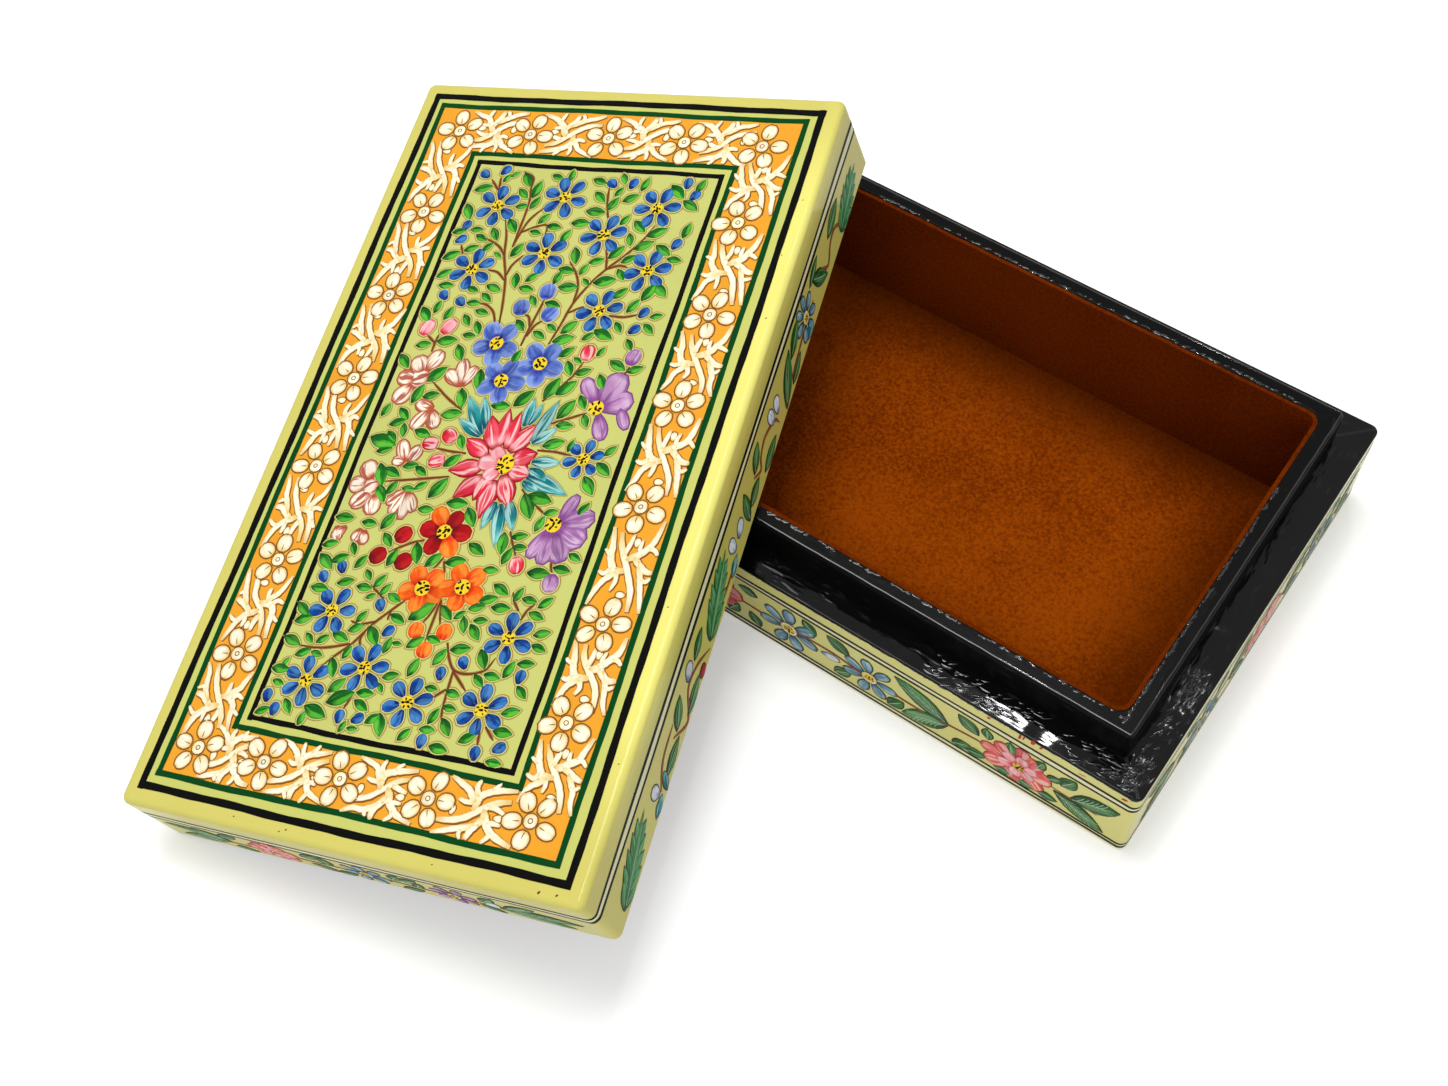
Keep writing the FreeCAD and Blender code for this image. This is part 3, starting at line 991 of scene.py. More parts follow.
for number, side in enumerate(("top", "right", "bottom", "left")):
    row = band_blossoms[side]
    for index in range(len(row) - 1):
        scroll(side, row[index], row[index + 1])
        cream_blossom(*row[index], blossom_turns[(index + 2 * number) % 7] - 90 * number)

# Spray on the panel: x, y and the turn of each flower
blue_flowers = [
    (-20.4, 55.4, 90), (-4.9, 58.7, 48), (17.4, 57.5, 8), (7.4, 49.9, 15), (-4.7, 44.2, 35),
    (20.3, 42, 15), (-20.4, 38.8, 28), (12.8, 31.5, 16), (-20.8, -42.1, 10), (-8.8, -52.4, 14),
    (-20.4, -57.1, 40), (3, -57.5, 19), (19, -41.4, 40), (18.8, -56.2, 35),
]
periwinkles = [(-7.7, 21.5, 55), (4, 17.8, 60), (-3.3, 12.9, 65)]
periwinkle_buds = [(-5.2, 30.6, 100), (-0.5, 35, 90), (1.9, 29.7, 60)]
blue_buds = [
    (-26.5, 63.4), (-21.8, 64.7), (-26, 49.7), (-26, 46.1), (-24.6, 31.8), (-20, 30.6), (5, 63),
    (9.9, 63.3), (22.4, 64.2), (24.9, 61.3), (24.6, 49), (22.8, 32), (22, 27.9), (-25.8, -35.4),
    (-22.5, -32.8), (-10.7, -39.3), (-6.8, -44.3), (11.6, -47.8), (7.7, -50.7), (24.2, -48.5),
    (-27.5, -61.5), (-24.8, -63.9), (-10.1, -62.8), (-6.1, -62.5), (8.9, -64.3), (20.6, -64.5),
    (25, -62.6),
]
stems = [
    [(-8.9, 26.1), (-9.9, 31.1), (-11.7, 37.5), (-14, 42.9), (-15.4, 47.9), (-17.4, 52.5)],
    [(-11.7, 36.8), (-14, 38.6), (-16.5, 39)], [(-14, 42.9), (-16.3, 45.2), (-20.4, 47)],
    [(-11.7, 38.1), (-11.3, 40.6), (-9.5, 43.4)],
    [(-12.9, 45.2), (-12.4, 48.4), (-11.3, 52.5), (-8.5, 56.3)],
    [(-12.9, 45.2), (-12.9, 51.5), (-13.1, 57), (-14, 60.6), (-14.5, 63.4), (-17.4, 64.8)],
    [(-12.2, 49), (-9.5, 50.6), (-6.7, 51.3), (-6.2, 48.4)],
    [(4.2, 22.5), (5.3, 27.5), (6.2, 32.5), (8.3, 37.5), (10.8, 41.5), (14.2, 45.6), (16.9, 49.7),
     (18.3, 53.4)],
    [(6.2, 32.9), (6, 36.5), (4.6, 39.7), (1.9, 42.7)], [(10.8, 41.5), (10.1, 44.3), (9.2, 46.5)],
    [(10.8, 41.5), (13.3, 42.7), (15.5, 42.5)], [(6, 30.4), (8.3, 31.8), (9.2, 32)],
    [(15.3, 30.6), (18.7, 30.6), (21.7, 31.5)], [(-2, 21.5), (-1.5, 26.1), (-0.8, 31.1), (-0.6, 33.4)],
    [(-1.6, 26.1), (-2.6, 28.4), (-3.8, 29)], [(-1.5, 23.8), (-0.6, 26.5), (0.8, 27.9)],
    [(-9.9, 26.1), (-11.3, 28.8), (-13.5, 30.4), (-15.4, 30.6)], [(-21.7, 59.7), (-22.4, 62.9)],
    [(-21.7, 59.3), (-24.5, 62.2)], [(-24.2, 42.5), (-25.4, 44.7)],
    [(6.9, 54.3), (6, 56.5), (5.1, 59.3), (4.6, 62)],
    [(7.6, 9.3), (10.3, 12.9), (12.4, 16.1), (13.5, 19.3)], [(10.8, 4.3), (14.6, 6.1), (18.3, 7.9)],
    [(10.5, -1.7), (14.2, -1.5), (18.3, -1.9)], [(10.3, -10.5), (13.7, -13), (17.4, -15.3)],
    [(-4.9, -4.4), (-8.5, -4.4), (-12.2, -4.1)], [(-6.7, -10), (-14, -11.6), (-20.8, -13)],
    [(-9.7, 5.2), (-14, 7.5), (-19, 10.9)], [(-10.4, 6.1), (-12.2, 9.3)],
    [(-22.1, 17.9), (-22.1, 20.2), (-22, 22.2)], [(-22.1, 20), (-24.7, 21.8)], [(23.4, 17.5), (24, 19.3)],
    [(-4.5, -36), (-7.6, -39.6), (-10.8, -43.5), (-13.5, -48), (-16.3, -51.2), (-18.8, -54.4)],
    [(-14, -48.2), (-18.1, -49.6), (-21.7, -50.3), (-25.1, -50.3)],
    [(-10.4, -42.8), (-13.5, -43.9), (-15.8, -43.5)], [(-11.3, -44.1), (-12.2, -46.6), (-11.5, -48.5)],
    [(-10.4, -38), (-14.5, -35.5)], [(-7.9, -39.8), (-7.9, -42.1)],
    [(-6.7, -24.4), (-9.5, -25.5), (-13.5, -28)], [(-1, -27.3), (-2.2, -30)], [(-0.6, -28), (0.5, -30.7)],
    [(1.7, -35.5), (1, -38.5), (-0.1, -41.4)], [(1.9, -35.7), (1.9, -45.3)], [(1.9, -36), (3.7, -41.2)],
    [(6.7, -44.4), (8.3, -47.5), (10.3, -49.6), (13.3, -49.8), (16.5, -48.5), (17.8, -45.7)],
    [(10.1, -49.4), (10.3, -52.5), (10.8, -57.5), (11.5, -59.8)], [(10.1, -49.8), (14.2, -53.2)],
    [(10.1, -53.5), (7.8, -55.7)], [(20.1, -37.5), (20.8, -35.3), (21.9, -33.7)],
    [(19, -35.7), (17.4, -33.9), (16.5, -32.1)], [(20.8, -59.1), (23.3, -61.4)],
    [(19.9, -59.8), (20.5, -63)], [(-9, -57.5), (-9.9, -61.2)],
    [(11.2, -19.8), (12.8, -22.5), (14.2, -24.6)], [(22.1, -25), (23, -26.9)],
]

# Leaves: x, y, turn and length
leaves = [
    (-25.6, 59.7, 20, 3.6), (-20.8, 62.7, 60, 2.2), (-19.1, 63.8, 35, 2), (-15.6, 62.7, -55, 3.6),
    (-12.4, 60.2, 80, 3.8), (-15.3, 59, -40, 3), (-11.6, 56.8, 65, 3), (-14.5, 55.7, 10, 2.6),
    (-8.5, 63.8, -20, 2.6), (-5.3, 64.5, 90, 2.6), (-27, 53.4, -60, 3.8), (-14.9, 50.6, -50, 3.6),
    (-8, 52.9, 55, 2.8), (-4.9, 51.1, -5, 3), (-8.8, 49.3, -10, 2.4), (-1.4, 49, 65, 3),
    (-23.1, 48.9, 5, 2.6), (-18.3, 48.1, -55, 3.2), (-27.2, 48.1, 15, 2.8), (-21.2, 46.9, -25, 2.8),
    (-22.6, 44, 25, 3), (-18.8, 44.7, 50, 2.6), (-26.8, 41.9, 30, 3.6), (-11.5, 44.5, 60, 3.4),
    (-15.6, 42.9, -30, 2), (-26.7, 37.2, 35, 3.2), (-25.1, 34.3, 5, 3), (-18.3, 33.9, -15, 2.6),
    (-13.5, 34.7, -15, 3.2), (-14.3, 32.2, -35, 2.8), (-16.8, 30.6, 5, 2.8), (-9, 37, -75, 3.2),
    (-5.5, 38.1, 45, 2.8), (-5.8, 35.2, -5, 3), (0.5, 38.6, 75, 3), (1.9, 40.6, -5, 3.2),
    (3.7, 36.5, 5, 3.8), (2.7, 44.3, -70, 3.6), (5.8, 41.1, 65, 2.6), (8, 43.4, 20, 3),
    (7.4, 38.1, -40, 2), (11.8, 45.9, 50, 3.6), (11.5, 38.7, 15, 4.2), (14.6, 40.6, -50, 2.8),
    (16, 36.1, 45, 3.2), (17.4, 48.1, 30, 3.8), (15.1, 44.5, 35, 3), (14.9, 52.7, -40, 3.4),
    (19.4, 51.5, 30, 3.8), (13.8, 49.3, -70, 2.8), (11, 54, 60, 2.6), (3.5, 55.6, 0, 3.8),
    (6.9, 57.9, 65, 3.2), (3.3, 59.4, -40, 3.2), (7.3, 61, 60, 2.4), (10.5, 59.6, 30, 3.2),
    (1.9, 63.4, -15, 3), (7.4, 64.4, -65, 2.6), (12.7, 63.3, 75, 3), (20.7, 62, -40, 4),
    (25.5, 63.8, 70, 3), (24.6, 58.8, -30, 3.6), (25.8, 52.5, 80, 3.2), (22.1, 47.3, -30, 3.6),
    (25.3, 45.2, -5, 2.8), (22.3, 37, 65, 4), (24.6, 37.7, -40, 3.6), (19.9, 33.4, 60, 3.2),
    (25.8, 31.5, 15, 2.4), (18.3, 28.1, -50, 2.6), (25, 28.4, -40, 2.8), (15.5, 26.1, -20, 4),
    (12.4, 25.3, 40, 2.6), (7.4, 27, 50, 3.6), (3.5, 26.5, -30, 2.4), (7.1, 24, 20, 4),
    (1.2, 24.5, -25, 2.8), (-3.9, 26.3, -45, 3), (-14, 28.6, -10, 2.8), (-16.8, 26.3, -50, 2.8),
    (-13.5, 24.7, -60, 3), (-14.8, 22.7, 0, 2.6), (-21.7, 27.5, 70, 3), (-27.1, 26.7, -50, 3.8),
    (-25, 28.8, 80, 2.8), (-3.1, 32.5, -50, 2.6), (1.7, 32, -10, 3.2), (1, 52.5, 5, 3.6),
    (-19.5, 20.9, 10, 4), (-24.7, 19.4, 15, 3), (-15.4, 18.4, -60, 3.6), (-2, 18.8, 75, 3),
    (-27.6, 15, -45, 3.6), (-8.5, 12.7, -80, 4), (-18.8, 12.7, 45, 4.5), (-21.3, 7.7, 75, 4),
    (-18.1, 7.7, 20, 3.2), (-10.8, 7.9, -70, 4), (-1.3, 7.2, 5, 3.6), (3.3, 9.5, 50, 4.4),
    (8.9, 21.1, 40, 3.2), (10.8, 17.5, -60, 3.2), (12.1, 19.5, -30, 2), (14.2, 17, 25, 3),
    (8.7, 12.5, 70, 4.6), (11.8, 12.9, 45, 4.2), (16.5, 22, 60, 2.2), (22.1, 24.3, -55, 2.6),
    (21.2, 19.3, -25, 3.6), (25.3, 18.8, 25, 3), (19, 15.2, -60, 3.2), (16.5, 10.2, -55, 3),
    (13.5, 8.1, 60, 4.4), (18.5, 6.1, -60, 2.8), (14.4, 4.5, 5, 3.2), (13.5, 0.2, 20, 4),
    (17.4, 0.2, 80, 2.4), (26.2, 0.2, 50, 2.6), (26, -3.9, -35, 3.6), (24.1, -7.8, -50, 4),
    (-11.7, 4, 15, 4), (-16.5, -1.2, -15, 3.6), (-23.3, 0.6, 25, 3.2), (-22.6, 2.7, -40, 3.2),
    (-21.2, -1, -75, 2.8), (-27.2, 3.1, 70, 2.8), (-24.9, -4.1, -10, 5.5), (-23.3, -2.8, -40, 3),
    (-23.8, -6, 20, 3), (-7, -1.9, -60, 3), (-7.4, -6.4, 45, 3.6), (-16.3, -8.7, 15, 3),
    (-13.5, -9.6, -30, 3), (-19.9, -10.7, -20, 3.6), (-22.2, -11.6, -65, 4.5), (-18.5, -14.1, 65, 3),
    (-14.7, -13.9, 0, 2.6), (-12.2, -12.8, 40, 2.6), (-8.1, -12.8, 60, 4.6), (-20.6, -15.7, -50, 4),
    (-9, -17.8, 5, 3), (-2.6, -15.5, 5, 4), (1.5, -18, -55, 4), (14.9, -11.9, -10, 4.6),
    (12.8, -13.9, -60, 5), (18.3, -14.6, 20, 2.6), (24.9, -13, 60, 3), (16.8, -17.3, 75, 3),
    (-26.5, -22.1, 5, 3.6), (-20.4, -22.5, 0, 3), (-16.4, -21.4, 65, 3.8), (-27.4, -28.2, 20, 3),
    (-21.6, -28.5, -60, 2.6), (-18.8, -31, 60, 3), (-23.8, -31, 30, 3.4), (-26.7, -32.1, -35, 4),
    (-14.8, -25.5, -45, 3.2), (-12.2, -29.1, 75, 3.4), (-7.2, -27.3, -70, 4), (-3, -28.2, 50, 3.6),
    (1.9, -27.8, 15, 3.8), (5.3, -24.5, -25, 3.6), (10.5, -22.5, -80, 4), (13.5, -20.5, 15, 3),
    (14.4, -22.8, 5, 2.6), (12.4, -25, 75, 3.2), (10.1, -28.4, 5, 2.8), (20.3, -27.5, 5, 4),
    (24.8, -26, -5, 3.2), (26.6, -23.1, -20, 2.6), (-15.9, -33.5, -50, 2.4), (-12.9, -34.4, 60, 3),
    (-11, -36, 60, 2.6), (-15.8, -36.2, 0, 3), (-13.6, -37.8, 30, 2), (-20.4, -35.7, 20, 3.2),
    (-25.7, -37.9, 0, 3.4), (-8.3, -37.3, -20, 3), (-13.8, -42.3, 60, 2.6), (-27.4, -42.8, -35, 3.4),
    (-26.4, -44.8, 25, 3.4), (-5.9, -41.4, -20, 3.2), (-1.3, -39.1, 45, 5), (4.1, -38.5, -40, 3.4),
    (7.1, -38.5, 45, 2.4), (10.1, -36.4, 20, 3), (11.9, -34.4, 20, 3.4), (13.8, -32, -25, 3.4),
    (15.1, -35.7, 5, 3.4), (11.9, -38.9, 10, 2.6), (11.5, -41.4, -45, 3.4), (8.7, -40.3, -70, 3),
    (17.8, -32.5, 70, 2.8), (20.5, -33.2, -5, 2.8), (24, -33.2, 45, 3), (23, -36.1, -15, 3),
    (25.5, -39.4, 20, 3), (25.8, -42.3, -15, 2.8), (24.4, -45.8, 10, 3), (21.4, -47.5, 70, 3.2),
    (18.4, -49.4, -5, 3), (16, -50.7, -40, 2.8), (15.3, -46.4, -60, 3.6), (9.9, -45.2, 15, 3.6),
    (6.2, -47.5, 65, 3.4), (3.5, -44.3, -10, 2.8), (-0.1, -45.5, 40, 3.4), (-5.8, -47.1, 80, 3),
    (-3.9, -46.4, 0, 1.8), (-9.7, -45.7, -50, 4), (-16.7, -47.1, -15, 3.4), (-14, -44.8, 30, 3),
    (-20.4, -48.2, 40, 2.6), (-23.4, -48.5, -40, 2.4), (-27, -49.6, -15, 3.6), (-23.5, -51.6, 30, 3),
    (-20.4, -51.4, -10, 2.4), (-13.9, -50, 70, 2.6), (-15.8, -53.5, -65, 3.6), (-26.5, -54.1, 60, 1.8),
    (-27, -55.7, 5, 3.4), (-26.3, -58.5, -10, 2.4), (-13.3, -56.9, 50, 3.6), (-11.5, -59.1, 30, 5),
    (-6.6, -57.3, 5, 3.2), (-6.5, -59.8, -25, 3.2), (-3.8, -55.7, -50, 2), (-2.6, -53, 20, 3),
    (1.5, -50.5, 75, 3.4), (-15.8, -62.8, -15, 4.6), (-22.2, -62.8, -50, 3), (-18.1, -64.6, 80, 2.6),
    (-27.3, -64.6, 30, 2.8), (-8.7, -64.6, 70, 2.2), (-6.5, -64.6, 5, 2), (-2.9, -61.9, 40, 3),
    (-1, -62.8, -70, 4), (4.8, -63.7, 55, 2.8), (9.2, -61.9, 5, 2.8), (9.5, -59.1, 70, 3),
    (12.8, -60.7, -50, 3.4), (12.1, -57, -5, 2.6), (11.7, -54.1, -10, 2.8), (6.9, -53.9, 0, 2.4),
    (12.8, -65, -5, 3.4), (18, -61.9, 35, 3.2), (24.6, -59.6, 0, 3.4), (24.8, -55.5, 20, 3.2),
    (25.5, -51.4, -40, 2.8), (24.9, -65.5, 0, 2.8),
]

# Petals by start, end and width
pink_outer = [
    (1.6, -2.0, 1.2, 6.6, 3.0), (3.4, -2.0, 4.0, 6.4, 2.8), (4.6, -2.6, 8.4, 4.0, 3.8),
    (0.8, -2.4, -2.4, 4.7, 3.8), (-0.2, -4.2, -6.0, -1.2, 3.6), (-0.2, -6.8, -7.2, -8.6, 3.8),
    (0.8, -9.0, -4.0, -14.5, 3.8), (3.6, -9.6, 3.2, -18.0, 3.8), (2.4, -8.6, 0.6, -14.2, 3.6),
    (5.2, -8.2, 8.9, -14.8, 4.0), (6.0, -6.6, 10.9, -7.4, 4.2), (6.0, -4.6, 10.6, -2.4, 4.2),
]
pink_cup = [(3.6, -5.0, 1.0, -2.4, 3.4), (3.6, -6.4, 1.2, -9.6, 3.4), (3.8, -5.7, -1.5, -6.0, 4.0)]
teal_leaves = [
    (-3.0, 0.2, -9.3, 8.7, 3.2), (-2.8, 1.6, -5.6, 8.9, 2.8), (-3.2, -0.2, -9.6, 3.2, 2.6),
    (5.6, 3.2, 5.8, 9.9, 2.8), (6.4, 3.6, 8.1, 8.7, 2.2), (8.6, 0.0, 11.4, 10.0, 3.0),
    (8.8, -0.4, 13.1, 3.8, 2.6), (10.2, -4.4, 16.6, -3.8, 2.8), (10.0, -7.2, 20.3, -10.5, 3.6),
    (10.2, -6.0, 15.4, -8.4, 2.8), (9.8, -8.8, 14.0, -10.4, 2.6), (5.8, -14.0, 4.6, -20.2, 2.6),
    (7.0, -14.2, 9.0, -23.6, 3.0), (8.4, -13.2, 11.6, -19.6, 2.8),
]
red_petals = [
    (-3.9, -21.9, -8.6, -21.8, 4.0), (-1.4, -21.8, 3.1, -21.6, 4.0), (-3.6, -23.0, -5.2, -27.2, 3.8),
    (-2.4, -20.9, -0.6, -17.2, 3.6),
]
vermilion_petals = [(-3.7, -20.9, -6.4, -16.9, 4.0), (-2.2, -22.9, 0.6, -27.0, 4.2)]
lilac_petals = [
    (20.6, 9.8, 23.2, 17.4, 5.6), (21.4, 9.2, 26.8, 12.4, 5.0), (24.8, 10.2, 27.7, 5.4, 2.2),
    (19.2, 10.4, 15.3, 15.4, 3.2), (20.9, 7.8, 23.3, 2.4, 3.0), (21.0, -16.8, 27.6, -14.2, 4.6),
    (21.0, -17.6, 27.2, -19.8, 5.4), (20.6, -18.4, 23.8, -24.4, 5.2), (20.3, -18.8, 19.9, -25.4, 3.6),
    (20.7, -15.8, 22.8, -10.3, 2.4), (19.0, -18.6, 16.9, -24.5, 2.8),
]
blush_petals = [
    (-21.6, 13.4, -19.6, 18.2, 3.6), (-22.6, 12.4, -24.6, 16.4, 4.0), (-23.2, 11.0, -27.4, 11.2, 3.8),
    (-23.4, 9.6, -26.0, 5.2, 4.0), (-20.0, 12.2, -24.2, 10.6, 4.2), (-12.4, 10.6, -13.6, 16.8, 3.0),
    (-12.0, 10.6, -10.2, 15.4, 2.6), (-12.8, 10.8, -16.4, 13.8, 2.8), (-16.6, 4.8, -20.6, 5.6, 3.0),
    (-17.0, 4.4, -19.6, -0.3, 3.0), (-16.4, 4.2, -14.4, 0.4, 3.0), (-18.0, -8.4, -20.4, -3.4, 2.8),
    (-17.2, -8.2, -15.8, -4.2, 2.8), (-18.0, -8.2, -20.8, -8.0, 2.2), (-24.0, -13.0, -26.6, -9.2, 3.8),
    (-24.6, -14.2, -28.4, -14.8, 3.6), (-23.0, -15.6, -26.2, -19.4, 3.6),
    (-21.8, -16.0, -21.2, -20.6, 3.6), (-21.4, -13.6, -25.0, -15.8, 4.0),
    (-14.9, -14.4, -18.4, -17.6, 2.6), (-14.9, -14.2, -16.6, -19.8, 2.8),
    (-14.8, -14.2, -14.0, -20.6, 2.8), (-14.7, -14.4, -11.8, -18.6, 2.6),
    (-25.4, -24.2, -27.6, -26.8, 2.2), (-27.4, -24.4, -26.2, -27.2, 2.2),
    (-21.8, -24.2, -22.4, -26.8, 2.2), (-20.8, -24.4, -20.2, -27.2, 2.2),
]

# Single flowers and buds: x and y, with the turn where it shows
vermilion_flowers = [(-3, -34.4, 55), (5.5, -32.8, 52)]
vermilion_buds = [(-0.9, -43.1), (5.2, -42.4), (2.4, -46.7)]
red_buds = [(-11.7, -23.9), (-15.6, -29.1), (-9.5, -29.5)]
pale_buds = [(-25.4, 23.6, 70), (-20.4, 24.3, 60)]
pink_buds = [(13.7, 21.5, 90), (-13.8, -3.2, 180), (-10.1, -1, 140), (-10.8, -6.9, 200), (15.1, -26.6, -70)]
lilac_buds = [(24, 21.5, 80), (23.5, -29.1, -80)]


def paint_spray():
    """The spray of flowers in the panel."""
    for points in stems:
        twig("lid", top, points)
    for x, y, angle, length in leaves:
        touch("lid", top, "leaf", "leaf", x, y, angle, length * 1.24, length * 0.64)
    for x, y, turn in blue_flowers:
        bloom("lid", top, "blue", x, y, 6, turn, 3.4, 3.7, 2.6, 1.35)
    bloom("lid", top, "blue", 21.1, -2.3, 6, 20, 2.9, 2.9, 2.2, 1.35)
    for x, y, turn in periwinkles:
        bloom("lid", top, "periwinkle", x, y, 5, turn, 3.3, 4.5, 4.1, 1.6, "round", rim=0.4)
    for x, y, angle in periwinkle_buds:
        touch("lid", top, "periwinkle", "round", x, y, angle, 4.0, 3.9)
    for x, y in blue_buds:
        touch("lid", top, "blue", "petal", x, y, hand.uniform(30, 150), 2.9, 2.3)
    for petal in teal_leaves:
        petal_between("lid", top, "teal", "point", *petal, rim=0.32)
    for petal in pink_outer:
        petal_between("lid", top, "pink", "point", *petal, rim=0.32, line="pink line", halo=False)
    for petal in pink_cup:
        petal_between("lid", top, "pink cup", "round", *petal, low="over", rim=0.0)
    eye("lid", top, 4.5, -5.6, 2.2, ((4, 0.3), (9, 0.74)))
    for petal in lilac_petals:
        petal_between("lid", top, "lilac", "petal", *petal, rim=0.28, line="lilac line", halo=False)
    eye("lid", top, 19.9, 9.2, 1.7)
    eye("lid", top, 19.8, -17.1, 1.7)
    for petal in blush_petals:
        petal_between("lid", top, "blush", "petal", *petal, rim=0.3, line="blush line", halo=False)
    for petal in red_petals:
        petal_between("lid", top, "red", "round", *petal, rim=0.5)
    for petal in vermilion_petals:
        petal_between("lid", top, "vermilion", "round", *petal, rim=0.5)
    eye("lid", top, -3.0, -22.0, 1.6, ((2, 0.2), (7, 0.7)))
    for x, y, turn in vermilion_flowers:
        bloom("lid", top, "vermilion", x, y, 5, turn, 3.2, 4.2, 4.0, 1.7, "round", rim=0.4)
    for x, y in vermilion_buds:
        touch("lid", top, "vermilion", "round", x, y, 90, 3.4, 3.4)
    for x, y in red_buds:
        touch("lid", top, "red", "round", x, y, 40, 4.0, 3.8)
    for x, y, angle in pale_buds:
        touch("lid", top, "pink cup", "round", x, y, angle, 4.2, 3.4)
    for x, y, angle in pink_buds:
        touch("lid", top, "pink", "round", x, y, angle, 3.8, 3.3)
    for x, y, angle in lilac_buds:
        touch("lid", top, "lilac", "round", x, y, angle, 3.9, 3.5)


paint_spray()


# Painting of the sides: a vine between ruled lines

# Outline of the side motifs: dark, with no pale gap inside it
inked = {"line": "ink", "halo": False}


def draw_vein(body, place, points, parts, width, height):
    """Pale vein that thins out at its end."""
    coat(body, "vein").stroke(place, smooth(points, parts), width, paint_level[height], 0.01, 1.0, 0.2)


def veined_leaf(body, place, base_x, base_y, tip_x, tip_y, width):
    """Large leaf with pale veins drawn on it."""
    petal_between(body, place, "side leaf", "leaf", base_x, base_y, tip_x, tip_y, width, rim=0.2, **inked)
    base = np.array((base_x, base_y))
    way = np.array((tip_x, tip_y)) - base
    normal = np.array((-way[1], way[0])) / np.linalg.norm(way)
    draw_vein(body, place, [base + way * 0.04, base + way * 0.92], 4, 0.26, "vein")
    for share in (0.12, 0.22, 0.32, 0.42, 0.52, 0.62):
        for side in (-1, 1):
            start = base + way * share
            end = base + way * (share + 0.24) + normal * side * width * 0.36
            middle = (start + end) / 2 + way * 0.03
            draw_vein(body, place, [start, middle, end], 2, 0.17, "side vein")


def small_leaf(body, place, x, y, angle, length, width, low, high):
    """Side leaf with a dark outline and one pale vein, kept between two heights."""
    turn = math.radians(angle)
    reach = math.hypot(length * math.sin(turn), width * math.cos(turn)) / 2
    y = min(max(y, low + reach), high - reach)
    touch(body, place, "side leaf", "leaf", x, y, angle, length, width, rim=0.18, **inked)
    way = np.array((math.cos(turn), math.sin(turn))) * length
    middle = np.array((x, y), float)
    draw_vein(body, place, [middle - way * 0.4, middle + way * 0.36], 3, 0.2, "vein")


def lobed_leaf(body, place, base_x, base_y, tip_x, tip_y, width):
    """Leaf with swept lobes on both sides of its spine."""
    base = np.array((base_x, base_y), float)
    way = np.array((tip_x, tip_y)) - base
    normal = np.array((-way[1], way[0])) / np.linalg.norm(way)
    for share, reach in ((0.02, 0.42), (0.16, 0.54), (0.32, 0.52), (0.48, 0.42), (0.62, 0.28)):
        for side in (-1, 1):
            start = base + way * share
            end = base + way * (share + 0.28) + normal * side * width * reach
            petal_between(body, place, "vine leaf", "point", *start, *end, width * 0.34, rim=0.18, **inked)
    petal_between(body, place, "vine leaf", "point", *base, tip_x, tip_y, width * 0.36, low="over", rim=0.0)
    draw_vein(body, place, [base + way * 0.06, base + way * 0.88], 4, 0.24, "lobed vein")


def side_bloom(body, place, finish, x, y, scale, turn):
    """Open flower of the side vines, with a cream ring round its eye."""
    bloom(body, place, finish, x, y, 7, turn, 4.7 * scale, 5.2 * scale, 3.0 * scale, 1.5 * scale, rim=0.22,
          **inked)
    coat(body, "ink").stamp(place, "button", x, y, 0, 4.6 * scale, 4.6 * scale, 0.121, 0.006)
    coat(body, "cream").stamp(place, "button", x, y, 0, 4.2 * scale, 4.2 * scale, 0.123, 0.006)


# Petals of a rose: turn, distance, length and width of the outer ones, turn and distance in the cup
rose_ring = [
    (62, 5.2, 5.0, 5.0), (130, 5.4, 5.0, 4.6), (172, 6.2, 5.0, 4.2), (212, 6.0, 5.2, 4.6),
    (262, 4.8, 4.6, 5.0), (312, 5.2, 5.0, 4.6), (8, 4.8, 5.0, 5.0), (88, 6.6, 4.0, 3.6),
]
rose_cup = [(20, 2.6), (80, 2.8), (140, 3.0), (200, 3.2), (260, 2.6), (320, 2.7)]


def rose(body, place, x, y, scale):
    """Coral rose of the side vines, a little wider than high."""
    for angle, out, length, width in rose_ring:
        where = math.radians(angle)
        touch(body, place, "side rose", "round", x + out * scale * math.cos(where),
              y + out * scale * 0.9 * math.sin(where), angle, length * scale, width * scale, rim=0.2,
              line="pink line", halo=False)
    for angle, out in rose_cup:
        where = math.radians(angle)
        touch(body, place, "pink cup", "round", x + out * scale * math.cos(where),
              y + out * scale * math.sin(where), angle, 3.6 * scale, 3.2 * scale, low="over", rim=0.0)
    eye(body, place, x, y, 1.3 * scale)


